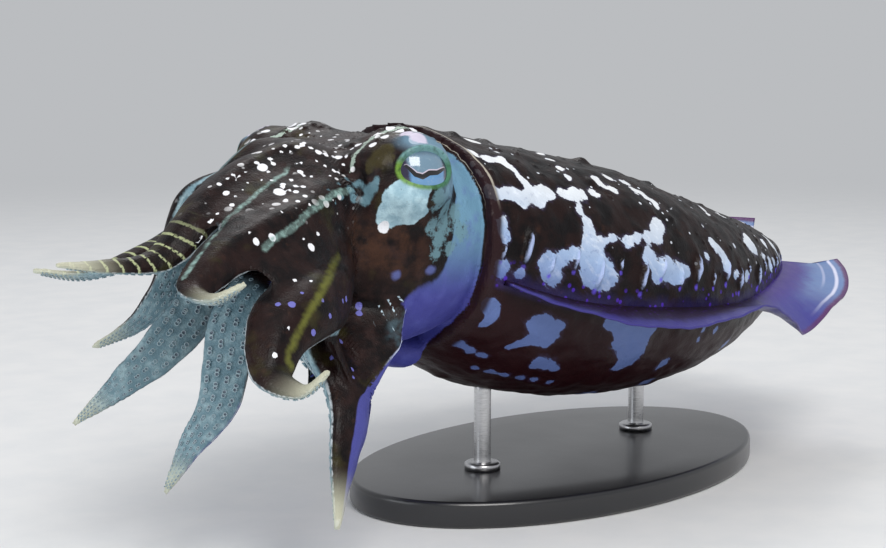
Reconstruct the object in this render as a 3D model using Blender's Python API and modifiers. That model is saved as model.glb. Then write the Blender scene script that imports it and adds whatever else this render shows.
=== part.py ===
"""A life-size museum model of a broadclub cuttlefish (Sepia latimanus), held on a plain two-rod stand.

The animal is modelled in its own frame: the centre of the mantle opening is the origin, the tail
points along +X, its right side along +Y and its back along +Z. The empty cuttlefish_pose then lifts
it over the stand and tips its tail down. The world origin is the centre of the base's underside.
"""

import math

import bmesh
import bpy
import numpy as np
from mathutils import Vector

# Driving sizes, in metres and degrees.
MANTLE_LENGTH = 0.300
GAP = 0.0003
TAIL_DOWN = math.radians(7)
MANTLE_OPENING_AT = Vector((-0.112, 0.0, 0.127))

# The mantle, as shares of its length at stations from the opening (0) to the tail (1).
MANTLE_STATIONS = (0.0, 0.15, 0.35, 0.60, 0.80, 1.0)
MANTLE_HALF_WIDTHS = (0.183, 0.215, 0.235, 0.215, 0.160, 0.100)
MANTLE_TOPS = (0.163, 0.185, 0.195, 0.165, 0.125, 0.090)
MANTLE_BOTTOMS = (0.167, 0.185, 0.185, 0.155, 0.120, 0.080)
MANTLE_CENTRES = (0.0, -0.035, -0.055, -0.058, -0.035, 0.0)
MANTLE_SQUARENESS = 0.92
TAIL_BLUNTNESS = 6
MANTLE_AROUND = 36
MANTLE_RINGS = 20
MANTLE_RING_CROWDING = 1.7
TAIL_END = 0.9985
COLLAR_TONGUE = 0.009
COLLAR_TONGUE_SPREAD = math.radians(38)
COLLAR_NOTCH = 0.006
COLLAR_NOTCH_SPREAD = math.radians(40)
CAP_SHARES = (0.2, 0.4, 0.6, 0.8)

# Flaps of skin in a row over each fin's root. The profile gives share of size against reach.
PAPILLAE = 12
PAPILLAE_FROM = 0.06
PAPILLAE_TO = 0.90
PAPILLAE_LIFT = 0.24
PAPILLA_HALF_HEIGHT = 0.0075
PAPILLA_HALF_WIDTH = 0.0028
PAPILLA_PROFILE = ((1.0, -0.0020), (0.95, 0.0004), (0.35, 0.0036))

# The head, from the neck (0) to the flat face that carries the arms (1).
HEAD_LENGTH = 0.062
NECK_SHARE = 0.9
HEAD_STATIONS = (0.0, 0.20, 0.50, 0.80, 1.0)
HEAD_HALF_WIDTHS = (0.0495, 0.0500, 0.0500, 0.0455, 0.0385)
HEAD_TOPS = (0.0440, 0.0430, 0.0400, 0.0365, 0.0335)
HEAD_BOTTOMS = (0.0450, 0.0520, 0.0560, 0.0480, 0.0370)
BROW_CENTRE = (-0.0350, 0.0300)
BROW_SPREAD = (0.0180, 0.0140)
BROW_HEIGHT = 0.0120
HEAD_RINGS = 15
FUNNEL_GROOVE = 0.30
FUNNEL_GROOVE_SPREAD = math.radians(28)
EYE_CENTRE = (-0.0400, 0.0430, 0.0260)
EYE_RADIUS = 0.0150
EYE_COVER = 0.0020
EYE_BULGE_SPREAD = 0.85
EYE_BULGE_BLEND = 0.008
EYE_SEGMENTS = 16
EYE_LOOKS = (-0.30, 0.93, 0.22)
LID_RADIUS = 0.0118
LID_SQUASH = 0.68
LID_THICKNESS = 0.0018
LID_INSET = 0.93
LID_AROUND = 20
LID_SIDES = 5

# The crown of arms: roots stand in a ring on the head's front face.
CROWN_HALF_WIDTH = 0.0310
CROWN_HALF_HEIGHT = 0.0280
ARM_ROOT_HALF_WIDTH = 0.0104
ARM_ROOT_BACK = 0.0085
ARM_ROOT_ORAL = 0.0055
ARM_AROUND = 10
ARM_TIP_RADIUS = 0.0011
ARM_LEAD = 0.007
ARM_LEAD_SPREAD = 1.06
ARM_STATIONS = (0.0, 0.25, 0.55, 0.85, 1.0)
ARM_TAPER = (1.0, 0.85, 0.40)
ARM_TWIST_STATIONS = (0.0, 0.15, 0.40, 1.0)
ARM_TWIST_SHARES = (0.0, 0.4, 1.0, 1.0)
ARM_BACK = 0.55
ARM_ORAL = 0.30
ARM_STEPS = 121
ARM_RINGS = 20
KEEL_SHARE = 0.35
ORAL_FLATNESS = 0.6

# Each arm: its root's place in degrees left of the top, its broadest half width, the shares of its
# length where it is divided, and its route beyond the root. The left arms come towards the front.
ARMS = {
    "arm_left_1": {
        "degrees": 21,
        "half_width": 0.0105,
        "twist": 0,
        "divided_at": (0.5,),
        "route": (
            (-0.088, -0.009, 0.023),
            (-0.114, -0.013, 0.010),
            (-0.131, -0.018, -0.003),
            (-0.146, -0.020, -0.015),
            (-0.167, -0.020, -0.018),
            (-0.189, -0.018, -0.018),
        ),
    },
    "arm_left_2": {
        "degrees": 65,
        "half_width": 0.0125,
        "twist": 35,
        "divided_at": (0.4, 0.7),
        "route": (
            (-0.090, -0.036, 0.006),
            (-0.118, -0.042, -0.004),
            (-0.143, -0.048, -0.015),
            (-0.156, -0.055, -0.024),
            (-0.157, -0.069, -0.025),
            (-0.153, -0.079, -0.018),
        ),
    },
    "arm_left_3": {
        "degrees": 110,
        "half_width": 0.0160,
        "twist": 60,
        "divided_at": (0.4, 0.7),
        "route": (
            (-0.083, -0.044, -0.019),
            (-0.108, -0.060, -0.027),
            (-0.129, -0.069, -0.039),
            (-0.136, -0.078, -0.052),
            (-0.132, -0.090, -0.055),
            (-0.129, -0.099, -0.046),
        ),
    },
    "arm_left_4": {
        "degrees": 157,
        "half_width": 0.0150,
        "twist": 75,
        "divided_at": (0.5,),
        "route": (
            (-0.080, -0.023, -0.038),
            (-0.076, -0.037, -0.051),
            (-0.073, -0.048, -0.062),
            (-0.077, -0.056, -0.071),
            (-0.085, -0.063, -0.089),
            (-0.092, -0.071, -0.110),
        ),
    },
    "arm_right_1": {
        "degrees": -21,
        "half_width": 0.0105,
        "twist": 0,
        "divided_at": (0.5,),
        "route": (
            (-0.083, 0.013, 0.019),
            (-0.097, 0.012, 0.005),
            (-0.114, 0.011, -0.009),
            (-0.135, 0.012, -0.018),
            (-0.154, 0.017, -0.024),
            (-0.172, 0.022, -0.023),
        ),
    },
    "arm_right_2": {
        "degrees": -65,
        "half_width": 0.0110,
        "twist": 0,
        "divided_at": (0.5,),
        "route": (
            (-0.087, 0.034, 0.006),
            (-0.096, 0.032, -0.010),
            (-0.103, 0.030, -0.028),
            (-0.114, 0.032, -0.043),
            (-0.131, 0.038, -0.054),
        ),
    },
    "arm_right_3": {
        "degrees": -110,
        "half_width": 0.0110,
        "twist": 0,
        "divided_at": (0.5,),
        "route": (
            (-0.0800, 0.036, -0.0235),
            (-0.0840, 0.037, -0.0400),
            (-0.095, 0.040, -0.055),
            (-0.111, 0.045, -0.071),
            (-0.130, 0.049, -0.087),
        ),
    },
    "arm_right_4": {
        "degrees": -157,
        "half_width": 0.0110,
        "twist": 0,
        "divided_at": (0.5,),
        "route": (
            (-0.081, 0.011, -0.039),
            (-0.086, 0.008, -0.057),
            (-0.091, 0.005, -0.073),
            (-0.101, 0.008, -0.090),
            (-0.111, 0.010, -0.110),
        ),
    },
}

# Suckers stand in two rows that alternate, smaller towards the tip.
SUCKERS = 17
SUCKERS_FROM = 0.07
SUCKERS_TO = 0.96
SUCKER_SIDES = 5
SUCKER_SHARE = 0.27
SUCKER_LEAST = 0.0006
SUCKER_RISE = 0.55
SUCKER_NECK = 0.75
SUCKER_ROW = 0.45
SUCKER_FOOT = 0.95
SUCKER_SINK = 0.0012
SUCKER_SINK_SHARE = 0.7
SUCKER_CLEAR = 0.0035

# The mouth in the middle of the crown.
MOUTH_RADIUS = 0.0135
MOUTH_DEPTH = 0.012
MOUTH_AROUND = 20
LIPS_END = math.radians(72)
LIPS_INWARD = 0.7
BEAK_LENGTH = 0.007
BEAK_WIDTH_SHARE = 0.75
BEAK_PROFILE = ((1.0, 0.0, 0.0), (0.8, 0.4, 0.05), (0.45, 0.75, 0.12), (0.08, 1.0, 0.25))

# The funnel under the head.
FUNNEL_FROM = 0.0035
FUNNEL_LENGTH = 0.039
FUNNEL_DROP = 0.0500
FUNNEL_DIP = -0.002
FUNNEL_HALF_WIDTHS = (0.0175, 0.0085)
FUNNEL_HALF_HEIGHTS = (0.0088, 0.0068)
FUNNEL_WALL = 0.0020
FUNNEL_BORE_DEPTH = 0.012
FUNNEL_AROUND = 20

# The fins run from just behind the opening to the tail. Each station gives the width and, in
# degrees, how far the sheet leans up (+) or down (-), curls towards its edge, and sweeps back.
FIN_LINE_DROPS = (0.25, 0.19, 0.12, 0.06, 0.02, 0.0)
FIN_FROM = 0.03
FIN_TO = 0.975
FIN_STATIONS = (0.0, 0.12, 0.30, 0.42, 0.50, 0.60, 0.68, 0.80, 0.90, 1.0)
FIN_WIDTHS = (0.006, 0.017, 0.022, 0.023, 0.024, 0.026, 0.030, 0.034, 0.038, 0.034)
FIN_DROOPS = {
    -1: (-10, -14, -18, -4, 10, -12, -40, -26, -16, 0),
    1: (-10, -15, 5, 0, -5, 5, 20, 38, 46, 44),
}
FIN_CURLS = {
    -1: (0, 0, 0, 0, 0, 0, 0, 20, 25, 25),
    1: (0, 10, 20, 0, -10, 5, 15, 25, 35, 35),
}
FIN_SWEEPS = {
    -1: (0, 0, 0, 0, 3, 5, 8, 15, 20, 20),
    1: (0, 0, 0, 0, 3, 5, 8, 20, 35, 50),
}
FIN_COLUMNS = 42
FIN_ROWS = 5
FIN_STEPS = 20
FIN_ROOT_THICKNESS = 0.0026
FIN_EDGE_THICKNESS = 0.0009

# The stand.
BASE_LENGTH = 0.250
BASE_WIDTH = 0.150
BASE_THICKNESS = 0.012
BASE_EDGE_ROUND = 0.002
BASE_AROUND = 40
ROD_RADIUS = 0.0040
ROD_AROUND = 20
ROD_PLACES = {"front": 0.055, "rear": 0.175}


def smooth(stations, values, at):
    """Reads values between stations off one smooth curve through them."""
    stations = np.asarray(stations, float)
    values = np.asarray(values, float)
    at = np.clip(np.asarray(at, float), stations[0], stations[-1])
    slopes = np.gradient(values, stations, axis=0)
    left = np.clip(np.searchsorted(stations, at, side="right") - 1, 0, len(stations) - 2)
    width = stations[left + 1] - stations[left]
    t = (at - stations[left]) / width
    if values.ndim > 1:
        width = width[..., None]
        t = t[..., None]
    start = (2 * t**3 - 3 * t**2 + 1) * values[left] + (t**3 - 2 * t**2 + t) * width * slopes[left]
    end = (3 * t**2 - 2 * t**3) * values[left + 1] + (t**3 - t**2) * width * slopes[left + 1]
    return start + end


def unit(vectors):
    return vectors / np.linalg.norm(vectors, axis=-1, keepdims=True)


def angle_between(a, b):
    """The size of the turn from angle a to angle b."""
    return np.abs((a - b + np.pi) % (2 * np.pi) - np.pi)


def mantle_size(station, shares):
    """A half width or height of the mantle at a station, closing in to the tail."""
    closing = np.sqrt(np.clip(1 - station**TAIL_BLUNTNESS, 0, 1))
    return smooth(MANTLE_STATIONS, shares, station) * closing * MANTLE_LENGTH


def oval(half_width, top, bottom, angle):
    """Across and up on an oval section, fuller than an ellipse, that may be unlike above and below."""
    across = np.sign(np.cos(angle)) * np.abs(np.cos(angle)) ** MANTLE_SQUARENESS
    up = np.sign(np.sin(angle)) * np.abs(np.sin(angle)) ** MANTLE_SQUARENESS
    return half_width * across, np.where(np.sin(angle) > 0, top, bottom) * up


def collar_reach(angle):
    """How far the mantle's edge stands back (+) or forward (-): a tongue above, a shallow notch below."""
    above = angle_between(angle, np.pi / 2) / COLLAR_TONGUE_SPREAD
    below = angle_between(angle, 3 * np.pi / 2) / COLLAR_NOTCH_SPREAD
    return COLLAR_NOTCH * np.exp(-(below**2)) - COLLAR_TONGUE * np.exp(-(above**2))


def mantle_point(station, angle):
    """A point on the mantle's skin: angle 0 is its right side, a quarter turn its back."""
    across, up = oval(
        mantle_size(station, MANTLE_HALF_WIDTHS),
        mantle_size(station, MANTLE_TOPS),
        mantle_size(station, MANTLE_BOTTOMS),
        angle,
    )
    along = station * MANTLE_LENGTH + collar_reach(angle) * (1 - station) ** 6
    centre = smooth(MANTLE_STATIONS, MANTLE_CENTRES, station) * MANTLE_LENGTH
    return np.stack(np.broadcast_arrays(along, across, up + centre), axis=-1)


def mantle_normal(station, angle):
    step = 1e-3
    along = mantle_point(station + step, angle) - mantle_point(station - step, angle)
    around = mantle_point(station, angle + step) - mantle_point(station, angle - step)
    return unit(np.cross(around, along))


def opening_point(share, angle):
    """A point on the curved face between neck and mantle, from its middle (0) to the mantle's edge (1)."""
    point = mantle_point(0.0, angle)
    return np.stack([point[..., 0] * share**2, point[..., 1] * share, point[..., 2] * share], axis=-1)


def funnel_groove(station, angle):
    """The share of its reach that the head keeps where the funnel lies under it."""
    below = angle_between(angle, 3 * np.pi / 2) / FUNNEL_GROOVE_SPREAD
    return 1 - FUNNEL_GROOVE * np.exp(-(below**2)) * (1 - station**3)


def head_point(station, angle):
    """A point on the head's skin, from the neck (0) to the face that carries the arms (1)."""
    across, up = oval(
        smooth(HEAD_STATIONS, HEAD_HALF_WIDTHS, station),
        smooth(HEAD_STATIONS, HEAD_TOPS, station),
        smooth(HEAD_STATIONS, HEAD_BOTTOMS, station),
        angle,
    )
    hollowed = funnel_groove(station, angle)
    neck = opening_point(NECK_SHARE * hollowed, angle)[..., 0] - GAP
    along = neck * (1 - station) - HEAD_LENGTH * station
    across = across * hollowed
    up = up * hollowed
    brow = ((along - BROW_CENTRE[0]) / BROW_SPREAD[0]) ** 2
    brow = brow + ((np.abs(across) - BROW_CENTRE[1]) / BROW_SPREAD[1]) ** 2
    up = up + BROW_HEIGHT * np.exp(-brow) * np.clip(np.sin(angle) * 3, 0, 1)
    point = np.stack(np.broadcast_arrays(along, across, up), axis=-1)
    for side in (-1, 1):
        point = swell_over_eye(point, np.array(EYE_CENTRE) * (1, side, 1))
    return point


def swell_over_eye(point, eye):
    """Moves skin out from the head's axis to lie over the eyeball and run smoothly down from it."""
    reach = np.linalg.norm(point[..., 1:], axis=-1)
    ray = point[..., 1:] / np.maximum(reach, 1e-6)[..., None]
    over = ray @ eye[1:]
    off_ray = eye[1] ** 2 + eye[2] ** 2 - over**2 + (point[..., 0] - eye[0]) ** 2
    cover = EYE_RADIUS + EYE_COVER
    bulge = over + cover - off_ray / (2 * cover * EYE_BULGE_SPREAD)
    blend = np.clip(0.5 + 0.5 * (bulge - reach) / EYE_BULGE_BLEND, 0, 1)
    swollen = reach + (bulge - reach) * blend + EYE_BULGE_BLEND * blend * (1 - blend)
    return np.concatenate([point[..., :1], ray * swollen[..., None]], axis=-1)


def material(name, colour, roughness, metallic=0.0):
    made = bpy.data.materials.new(name)
    made.use_nodes = True
    shader = made.node_tree.nodes["Principled BSDF"]
    shader.inputs["Base Color"].default_value = (*colour, 1.0)
    shader.inputs["Roughness"].default_value = roughness
    shader.inputs["Metallic"].default_value = metallic
    return made


def keep(mesh, name, home, finish):
    """Puts a mesh in the scene as a named object with its material."""
    obj = bpy.data.objects.new(name, mesh)
    home.objects.link(obj)
    if finish:
        mesh.materials.append(finish)
    mesh.shade_smooth()
    mesh.set_sharp_from_angle(angle=math.radians(40))
    return obj


def loft(rings, start_cap=True, end_cap=True):
    """A closed mesh through rings of like count. A cap is a fan to the ring's middle."""
    bm = bmesh.new()
    rows = [[bm.verts.new(point) for point in ring] for ring in rings]
    around = len(rows[0])
    for first, second in zip(rows, rows[1:]):
        for i in range(around):
            j = (i + 1) % around
            bm.faces.new((first[i], first[j], second[j]))
            bm.faces.new((first[i], second[j], second[i]))
    for wanted, row, ring in ((start_cap, rows[0], rings[0]), (end_cap, rows[-1], rings[-1])):
        if not wanted:
            continue
        middle = bm.verts.new(np.mean(ring, axis=0))
        for i in range(around):
            bm.faces.new((row[i], row[(i + 1) % around], middle))
    bmesh.ops.recalc_face_normals(bm, faces=bm.faces)
    mesh = bpy.data.meshes.new("loft")
    bm.to_mesh(mesh)
    bm.free()
    return mesh


def angles(count):
    return np.arange(count) * 2 * np.pi / count


def largest_surface(obj):
    """Deletes every closed surface of the object but the largest."""
    bm = bmesh.new()
    bm.from_mesh(obj.data)
    left = set(bm.verts)
    islands = []
    while left:
        stack = [left.pop()]
        island = set(stack)
        while stack:
            for edge in stack.pop().link_edges:
                for vert in edge.verts:
                    if vert in left:
                        left.remove(vert)
                        island.add(vert)
                        stack.append(vert)
        islands.append(island)
    islands.sort(key=len)
    for island in islands[:-1]:
        bmesh.ops.delete(bm, geom=list(island), context="VERTS")
    bmesh.ops.triangulate(bm, faces=bm.faces)
    bm.to_mesh(obj.data)
    bm.free()


def apply_modifiers(obj):
    """Writes the object's evaluated shape into its mesh."""
    graph = bpy.context.evaluated_depsgraph_get()
    made = bpy.data.meshes.new_from_object(obj.evaluated_get(graph))
    obj.modifiers.clear()
    obj.data = made


def boolean(obj, operation, collection, solver="EXACT"):
    cut = obj.modifiers.new(operation.lower(), "BOOLEAN")
    cut.operation = operation
    cut.operand_type = "COLLECTION"
    cut.collection = collection
    cut.solver = solver
    apply_modifiers(obj)
    for helper in list(collection.objects):
        bpy.data.objects.remove(helper)
    largest_surface(obj)


def grown(obj, by):
    """A copy of a mesh object's shape with its skin moved out."""
    mesh = obj.data.copy()
    normals = [vertex.normal.copy() for vertex in mesh.vertices]
    for vertex, normal in zip(mesh.vertices, normals):
        vertex.co += normal * by
    return mesh


def put_helper(mesh, collection, parent=None):
    helper = bpy.data.objects.new("helper", mesh)
    helper.hide_render = True
    helper.display_type = "WIRE"
    helper.parent = parent
    collection.objects.link(helper)
    return helper


def build_mantle(home, helpers):
    """The sac of the body: skin from the opening to the tail, closed in front by a curved face."""
    around = angles(MANTLE_AROUND)
    cap = [opening_point(share, around) for share in CAP_SHARES]
    stations = 1 - (1 - np.linspace(0, 1, MANTLE_RINGS)) ** MANTLE_RING_CROWDING
    stations[-1] = TAIL_END
    mesh = loft(cap + [mantle_point(station, around) for station in stations])
    mantle = keep(mesh, "mantle", home, material("mantle_skin", (0.16, 0.07, 0.06), 0.42))
    for side in (-1, 1):
        for number in range(PAPILLAE):
            station = PAPILLAE_FROM + (PAPILLAE_TO - PAPILLAE_FROM) * number / (PAPILLAE - 1)
            lift = PAPILLAE_LIFT * (1 + 0.15 * (-1) ** number)
            angle = fin_line(station, side) + side * lift
            put_helper(papilla(station, angle, number), helpers)
    boolean(mantle, "UNION", helpers)
    return mantle


def root_room(station):
    """How tall the mantle is at a station, as a share of its tallest."""
    return mantle_size(station, MANTLE_TOPS) / (max(MANTLE_TOPS) * MANTLE_LENGTH)


def papilla(station, angle, number):
    """A long, low flap of skin, pointed above and below, that stands out just over the fin's root."""
    root = mantle_point(station, angle)
    out = mantle_normal(station, angle)
    up = mantle_point(station, angle + 0.02) - root
    up = unit(up if up[2] > 0 else -up)
    side = np.cross(out, up)
    size = (1.0 + 0.25 * math.sin(2.4 * number)) * min(1.0, root_room(station))
    rings = []
    for share, reach in PAPILLA_PROFILE:
        half_height = PAPILLA_HALF_HEIGHT * size * share
        half_width = PAPILLA_HALF_WIDTH * size * share
        middle = root + out * reach * size
        rings.append(
            [
                middle + up * half_height,
                middle + side * half_width,
                middle - up * half_height,
                middle - side * half_width,
            ]
        )
    return loft(rings)


def build_head(home, helpers):
    """The head from neck to arms, with eye bulges, lids and the sockets behind them."""
    around = angles(MANTLE_AROUND)
    neck = NECK_SHARE * funnel_groove(0.0, around)
    cap = [opening_point(share * neck, around) - (GAP, 0, 0) for share in CAP_SHARES]
    skin = [head_point(station, around) for station in np.linspace(0, 1, HEAD_RINGS)]
    mesh = loft(cap + skin)
    head = keep(mesh, "head", home, material("head_skin", (0.20, 0.12, 0.10), 0.40))
    for side in (-1, 1):
        put_helper(lid_ring(side), helpers)
    boolean(head, "UNION", helpers)
    for side in (-1, 1):
        put_helper(eye_ball(side, EYE_RADIUS + GAP), helpers)
        put_helper(lid_opening(side), helpers)
    boolean(head, "DIFFERENCE", helpers)
    return head


def eye_frame(side):
    """The middle of an eye, and its outward, backward and upward directions."""
    middle = np.array(EYE_CENTRE) * (1, side, 1)
    outward = unit(np.array(EYE_LOOKS) * (1, side, 1))
    back = unit(np.cross(np.cross(outward, (1.0, 0.0, 0.0)), outward))
    up = np.cross(back, outward) * (-side)
    return middle, outward, back, up if up[2] > 0 else -up


def eye_ball(side, radius):
    middle, _, _, _ = eye_frame(side)
    bm = bmesh.new()
    bmesh.ops.create_uvsphere(bm, u_segments=EYE_SEGMENTS, v_segments=EYE_SEGMENTS // 2, radius=radius)
    bmesh.ops.triangulate(bm, faces=bm.faces)
    bmesh.ops.translate(bm, verts=bm.verts, vec=middle)
    mesh = bpy.data.meshes.new("eye")
    bm.to_mesh(mesh)
    bm.free()
    return mesh


def lid_edge(side, angle):
    """Where the edge of the lids lies, on a sphere just outside the eyeball."""
    middle, outward, back, up = eye_frame(side)
    across = back * np.cos(angle)[..., None] + up * (LID_SQUASH * np.sin(angle))[..., None]
    across = across * LID_RADIUS
    reach = np.linalg.norm(across, axis=-1, keepdims=True)
    over = np.sqrt((EYE_RADIUS + LID_THICKNESS * 0.8) ** 2 - reach**2)
    return middle + across + outward * over


def lid_ring(side):
    """The rim of the lids, a tube round the eye's opening."""
    turn = angles(LID_AROUND)
    line = lid_edge(side, turn)
    _, outward, _, _ = eye_frame(side)
    bm = bmesh.new()
    rows = []
    for i in range(LID_AROUND):
        ahead = unit(line[(i + 1) % LID_AROUND] - line[i - 1])
        across = unit(np.cross(ahead, outward))
        over = np.cross(across, ahead)
        rows.append(
            [
                bm.verts.new(line[i] + LID_THICKNESS * (across * math.cos(a) + over * math.sin(a)))
                for a in angles(LID_SIDES)
            ]
        )
    for i in range(LID_AROUND):
        first, second = rows[i], rows[(i + 1) % LID_AROUND]
        for j in range(LID_SIDES):
            k = (j + 1) % LID_SIDES
            bm.faces.new((first[j], first[k], second[k], second[j]))
    bmesh.ops.recalc_face_normals(bm, faces=bm.faces)
    mesh = bpy.data.meshes.new("lids")
    bm.to_mesh(mesh)
    bm.free()
    return mesh


def lid_opening(side):
    """The hole between the lids, cut straight out from the eyeball's middle."""
    middle, outward, _, _ = eye_frame(side)
    edge = lid_edge(side, angles(LID_AROUND))
    foot = edge - outward * ((edge - middle) @ outward)[:, None] * 0.5
    top = foot + outward * EYE_RADIUS * 2
    return loft([drawn_in(foot, LID_INSET), drawn_in(top, LID_INSET)])


def drawn_in(ring, share):
    """A ring drawn in towards its own middle, to a share of its size."""
    middle = ring.mean(axis=0)
    return middle + (ring - middle) * share


def arm_root(degrees):
    """The root of an arm on the head's front face, from its place in degrees left of the top."""
    turn = math.radians(degrees)
    across = -CROWN_HALF_WIDTH * math.sin(turn)
    return np.array((-HEAD_LENGTH - GAP, across, CROWN_HALF_HEIGHT * math.cos(turn)))


def arm_lines(arm):
    """The arm's middle line, its directions and its section sizes in one table, root to tip."""
    root = arm_root(arm["degrees"])
    lead = root * (1, ARM_LEAD_SPREAD, ARM_LEAD_SPREAD) - (ARM_LEAD, 0, 0)
    route = np.array([root, lead, *arm["route"]])
    lengths = np.r_[0, np.cumsum(np.linalg.norm(np.diff(route, axis=0), axis=1))]
    share = np.linspace(0, 1, ARM_STEPS)
    line = smooth(lengths / lengths[-1], route, share)
    ahead = unit(np.gradient(line, axis=0))
    ahead[0] = (-1, 0, 0)
    oral = np.zeros_like(line)
    oral[0] = unit(-root * (0, 1, 1))
    for i in range(1, ARM_STEPS):
        turned = oral[i - 1] - ahead[i] * (oral[i - 1] @ ahead[i])
        oral[i] = unit(turned)
    twist = math.radians(arm["twist"]) * smooth(ARM_TWIST_STATIONS, ARM_TWIST_SHARES, share)
    side = np.cross(ahead, oral)
    oral = oral * np.cos(twist)[:, None] + side * np.sin(twist)[:, None]
    side = np.cross(ahead, oral)
    sizes = []
    roots = (ARM_ROOT_HALF_WIDTH, ARM_ROOT_BACK, ARM_ROOT_ORAL)
    for at_root, flatness in zip(roots, (1.0, ARM_BACK, ARM_ORAL)):
        beyond = arm["half_width"] * flatness * np.array(ARM_TAPER)
        sizes.append(smooth(ARM_STATIONS, (at_root, *beyond, ARM_TIP_RADIUS), share))
    table = np.hstack([line, ahead, oral, side, np.transpose(sizes)])
    return share, table, lengths[-1]


def arm_at(lines, at):
    """The arm's middle, its forward, oral and sideways directions and its sizes at a share of its length."""
    share, table, _ = lines
    row = smooth(share, table, at)
    return row[0:3], unit(row[3:6]), unit(row[6:9]), unit(row[9:12]), row[12:]


def arm_section(lines, at):
    """The ring of the arm's skin at a share of its length: keeled outside, flat on the oral side."""
    middle, _, oral, side, (half_width, back, face) = arm_at(lines, at)
    turn = angles(ARM_AROUND)
    rise = math.sin(math.pi * at) ** 0.5
    keel = 1 + KEEL_SHARE * np.maximum(np.sin(turn), 0) ** 8 * rise
    up = np.where(
        np.sin(turn) > 0,
        back * np.abs(np.sin(turn)) * keel,
        -face * np.abs(np.sin(turn)) ** ORAL_FLATNESS,
    )
    across = half_width * np.cos(turn)
    return middle + side * across[:, None] - oral * up[:, None]


def sucker(lines, at, row):
    """A short, wide cup on the oral side, its root sunk into the arm."""
    middle, ahead, oral, side, (half_width, _, face) = arm_at(lines, at)
    radius = max(SUCKER_LEAST, SUCKER_SHARE * half_width)
    surface = middle + side * row * SUCKER_ROW * half_width + oral * face * SUCKER_FOOT
    sink = min(SUCKER_SINK, SUCKER_SINK_SHARE * face)
    turn = angles(SUCKER_SIDES)[:, None]
    ring = (ahead * np.cos(turn) + side * np.sin(turn)) * radius
    return loft([surface - oral * sink + ring * SUCKER_NECK, surface + oral * radius * SUCKER_RISE + ring])


def build_arm(name, arm, home, helpers, finish):
    """One arm in its lengths. Each is a loft with two rows of suckers along its oral side."""
    lines = arm_lines(arm)
    half_gap = GAP / 2 / lines[-1]
    clear = SUCKER_CLEAR / lines[-1]
    cuts = [0.0, *arm["divided_at"], 1.0]
    labels = ("base", "middle", "tip") if len(cuts) == 4 else ("base", "tip")
    for label, start, end in zip(labels, cuts, cuts[1:]):
        first = start + half_gap * (start > 0)
        last = end - half_gap * (end < 1)
        count = max(5, round(ARM_RINGS * (last - first)))
        rings = [arm_section(lines, at) for at in np.linspace(first, last, count)]
        piece = keep(loft(rings), f"{name}_{label}", home, finish)
        for number, at in enumerate(np.linspace(SUCKERS_FROM, SUCKERS_TO, SUCKERS)):
            if first + clear * (start > 0) < at < last - clear * (end < 1):
                put_helper(sucker(lines, at, (-1) ** number), helpers)
        boolean(piece, "UNION", helpers)


def build_mouth(home):
    """The round lips in the middle of the arms, with the tip of the beak in them."""
    around = angles(MOUTH_AROUND)
    circle = np.stack([0 * around, np.cos(around), np.sin(around)], axis=-1)
    face = HEAD_LENGTH + GAP
    rings = []
    for turn in np.linspace(0, LIPS_END, 6):
        rings.append(circle * MOUTH_RADIUS * math.cos(turn) - (face + MOUTH_DEPTH * math.sin(turn), 0, 0))
    rings.append(rings[-1] * (1, LIPS_INWARD, LIPS_INWARD) + (BEAK_LENGTH / 2, 0, 0))
    keep(loft(rings), "mouth", home, material("lips", (0.45, 0.36, 0.38), 0.35))
    floor = face + MOUTH_DEPTH * math.sin(LIPS_END) - BEAK_LENGTH / 2 + GAP
    width = MOUTH_RADIUS * math.cos(LIPS_END) * LIPS_INWARD * BEAK_WIDTH_SHARE
    beak = []
    for share, reach, drop in BEAK_PROFILE:
        beak.append(circle * width * share - (floor + BEAK_LENGTH * reach, 0, BEAK_LENGTH * drop))
    keep(loft(beak), "beak", home, material("beak_horn", (0.05, 0.03, 0.02), 0.25))


def build_funnel(home, helpers, head, mantle):
    """The breathing tube under the head, open at its front end and cut clear of head and mantle."""
    rings = [funnel_ring(share, 0.0, 0.0) for share in np.linspace(0, 1, 7)]
    rings.append(funnel_ring(1.0, FUNNEL_WALL, 0.0))
    rings.append(funnel_ring(1.0, FUNNEL_WALL * 1.5, FUNNEL_BORE_DEPTH))
    funnel = keep(loft(rings), "funnel", home, material("funnel_skin", (0.45, 0.45, 0.62), 0.38))
    for neighbour in (head, mantle):
        put_helper(grown(neighbour, GAP), helpers)
    boolean(funnel, "DIFFERENCE", helpers)


def funnel_ring(share, inset, inward):
    """A ring of the funnel at a share of its length, drawn in by an inset and set back into its bore."""
    around = angles(FUNNEL_AROUND)
    across = np.cos(around) * (np.interp(share, (0, 1), FUNNEL_HALF_WIDTHS) - inset)
    up = np.sin(around) * (np.interp(share, (0, 1), FUNNEL_HALF_HEIGHTS) - inset)
    middle = np.array((FUNNEL_FROM - FUNNEL_LENGTH * share + inward, 0, -FUNNEL_DROP - FUNNEL_DIP * share))
    return middle + np.stack([0 * around, across, up], axis=-1)


def fin_line(station, side):
    """The angle on the mantle at which the fin's root lies: below mid height, less so at the tail."""
    return np.pi / 2 - side * (np.pi / 2 + smooth(MANTLE_STATIONS, FIN_LINE_DROPS, station))


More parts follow.
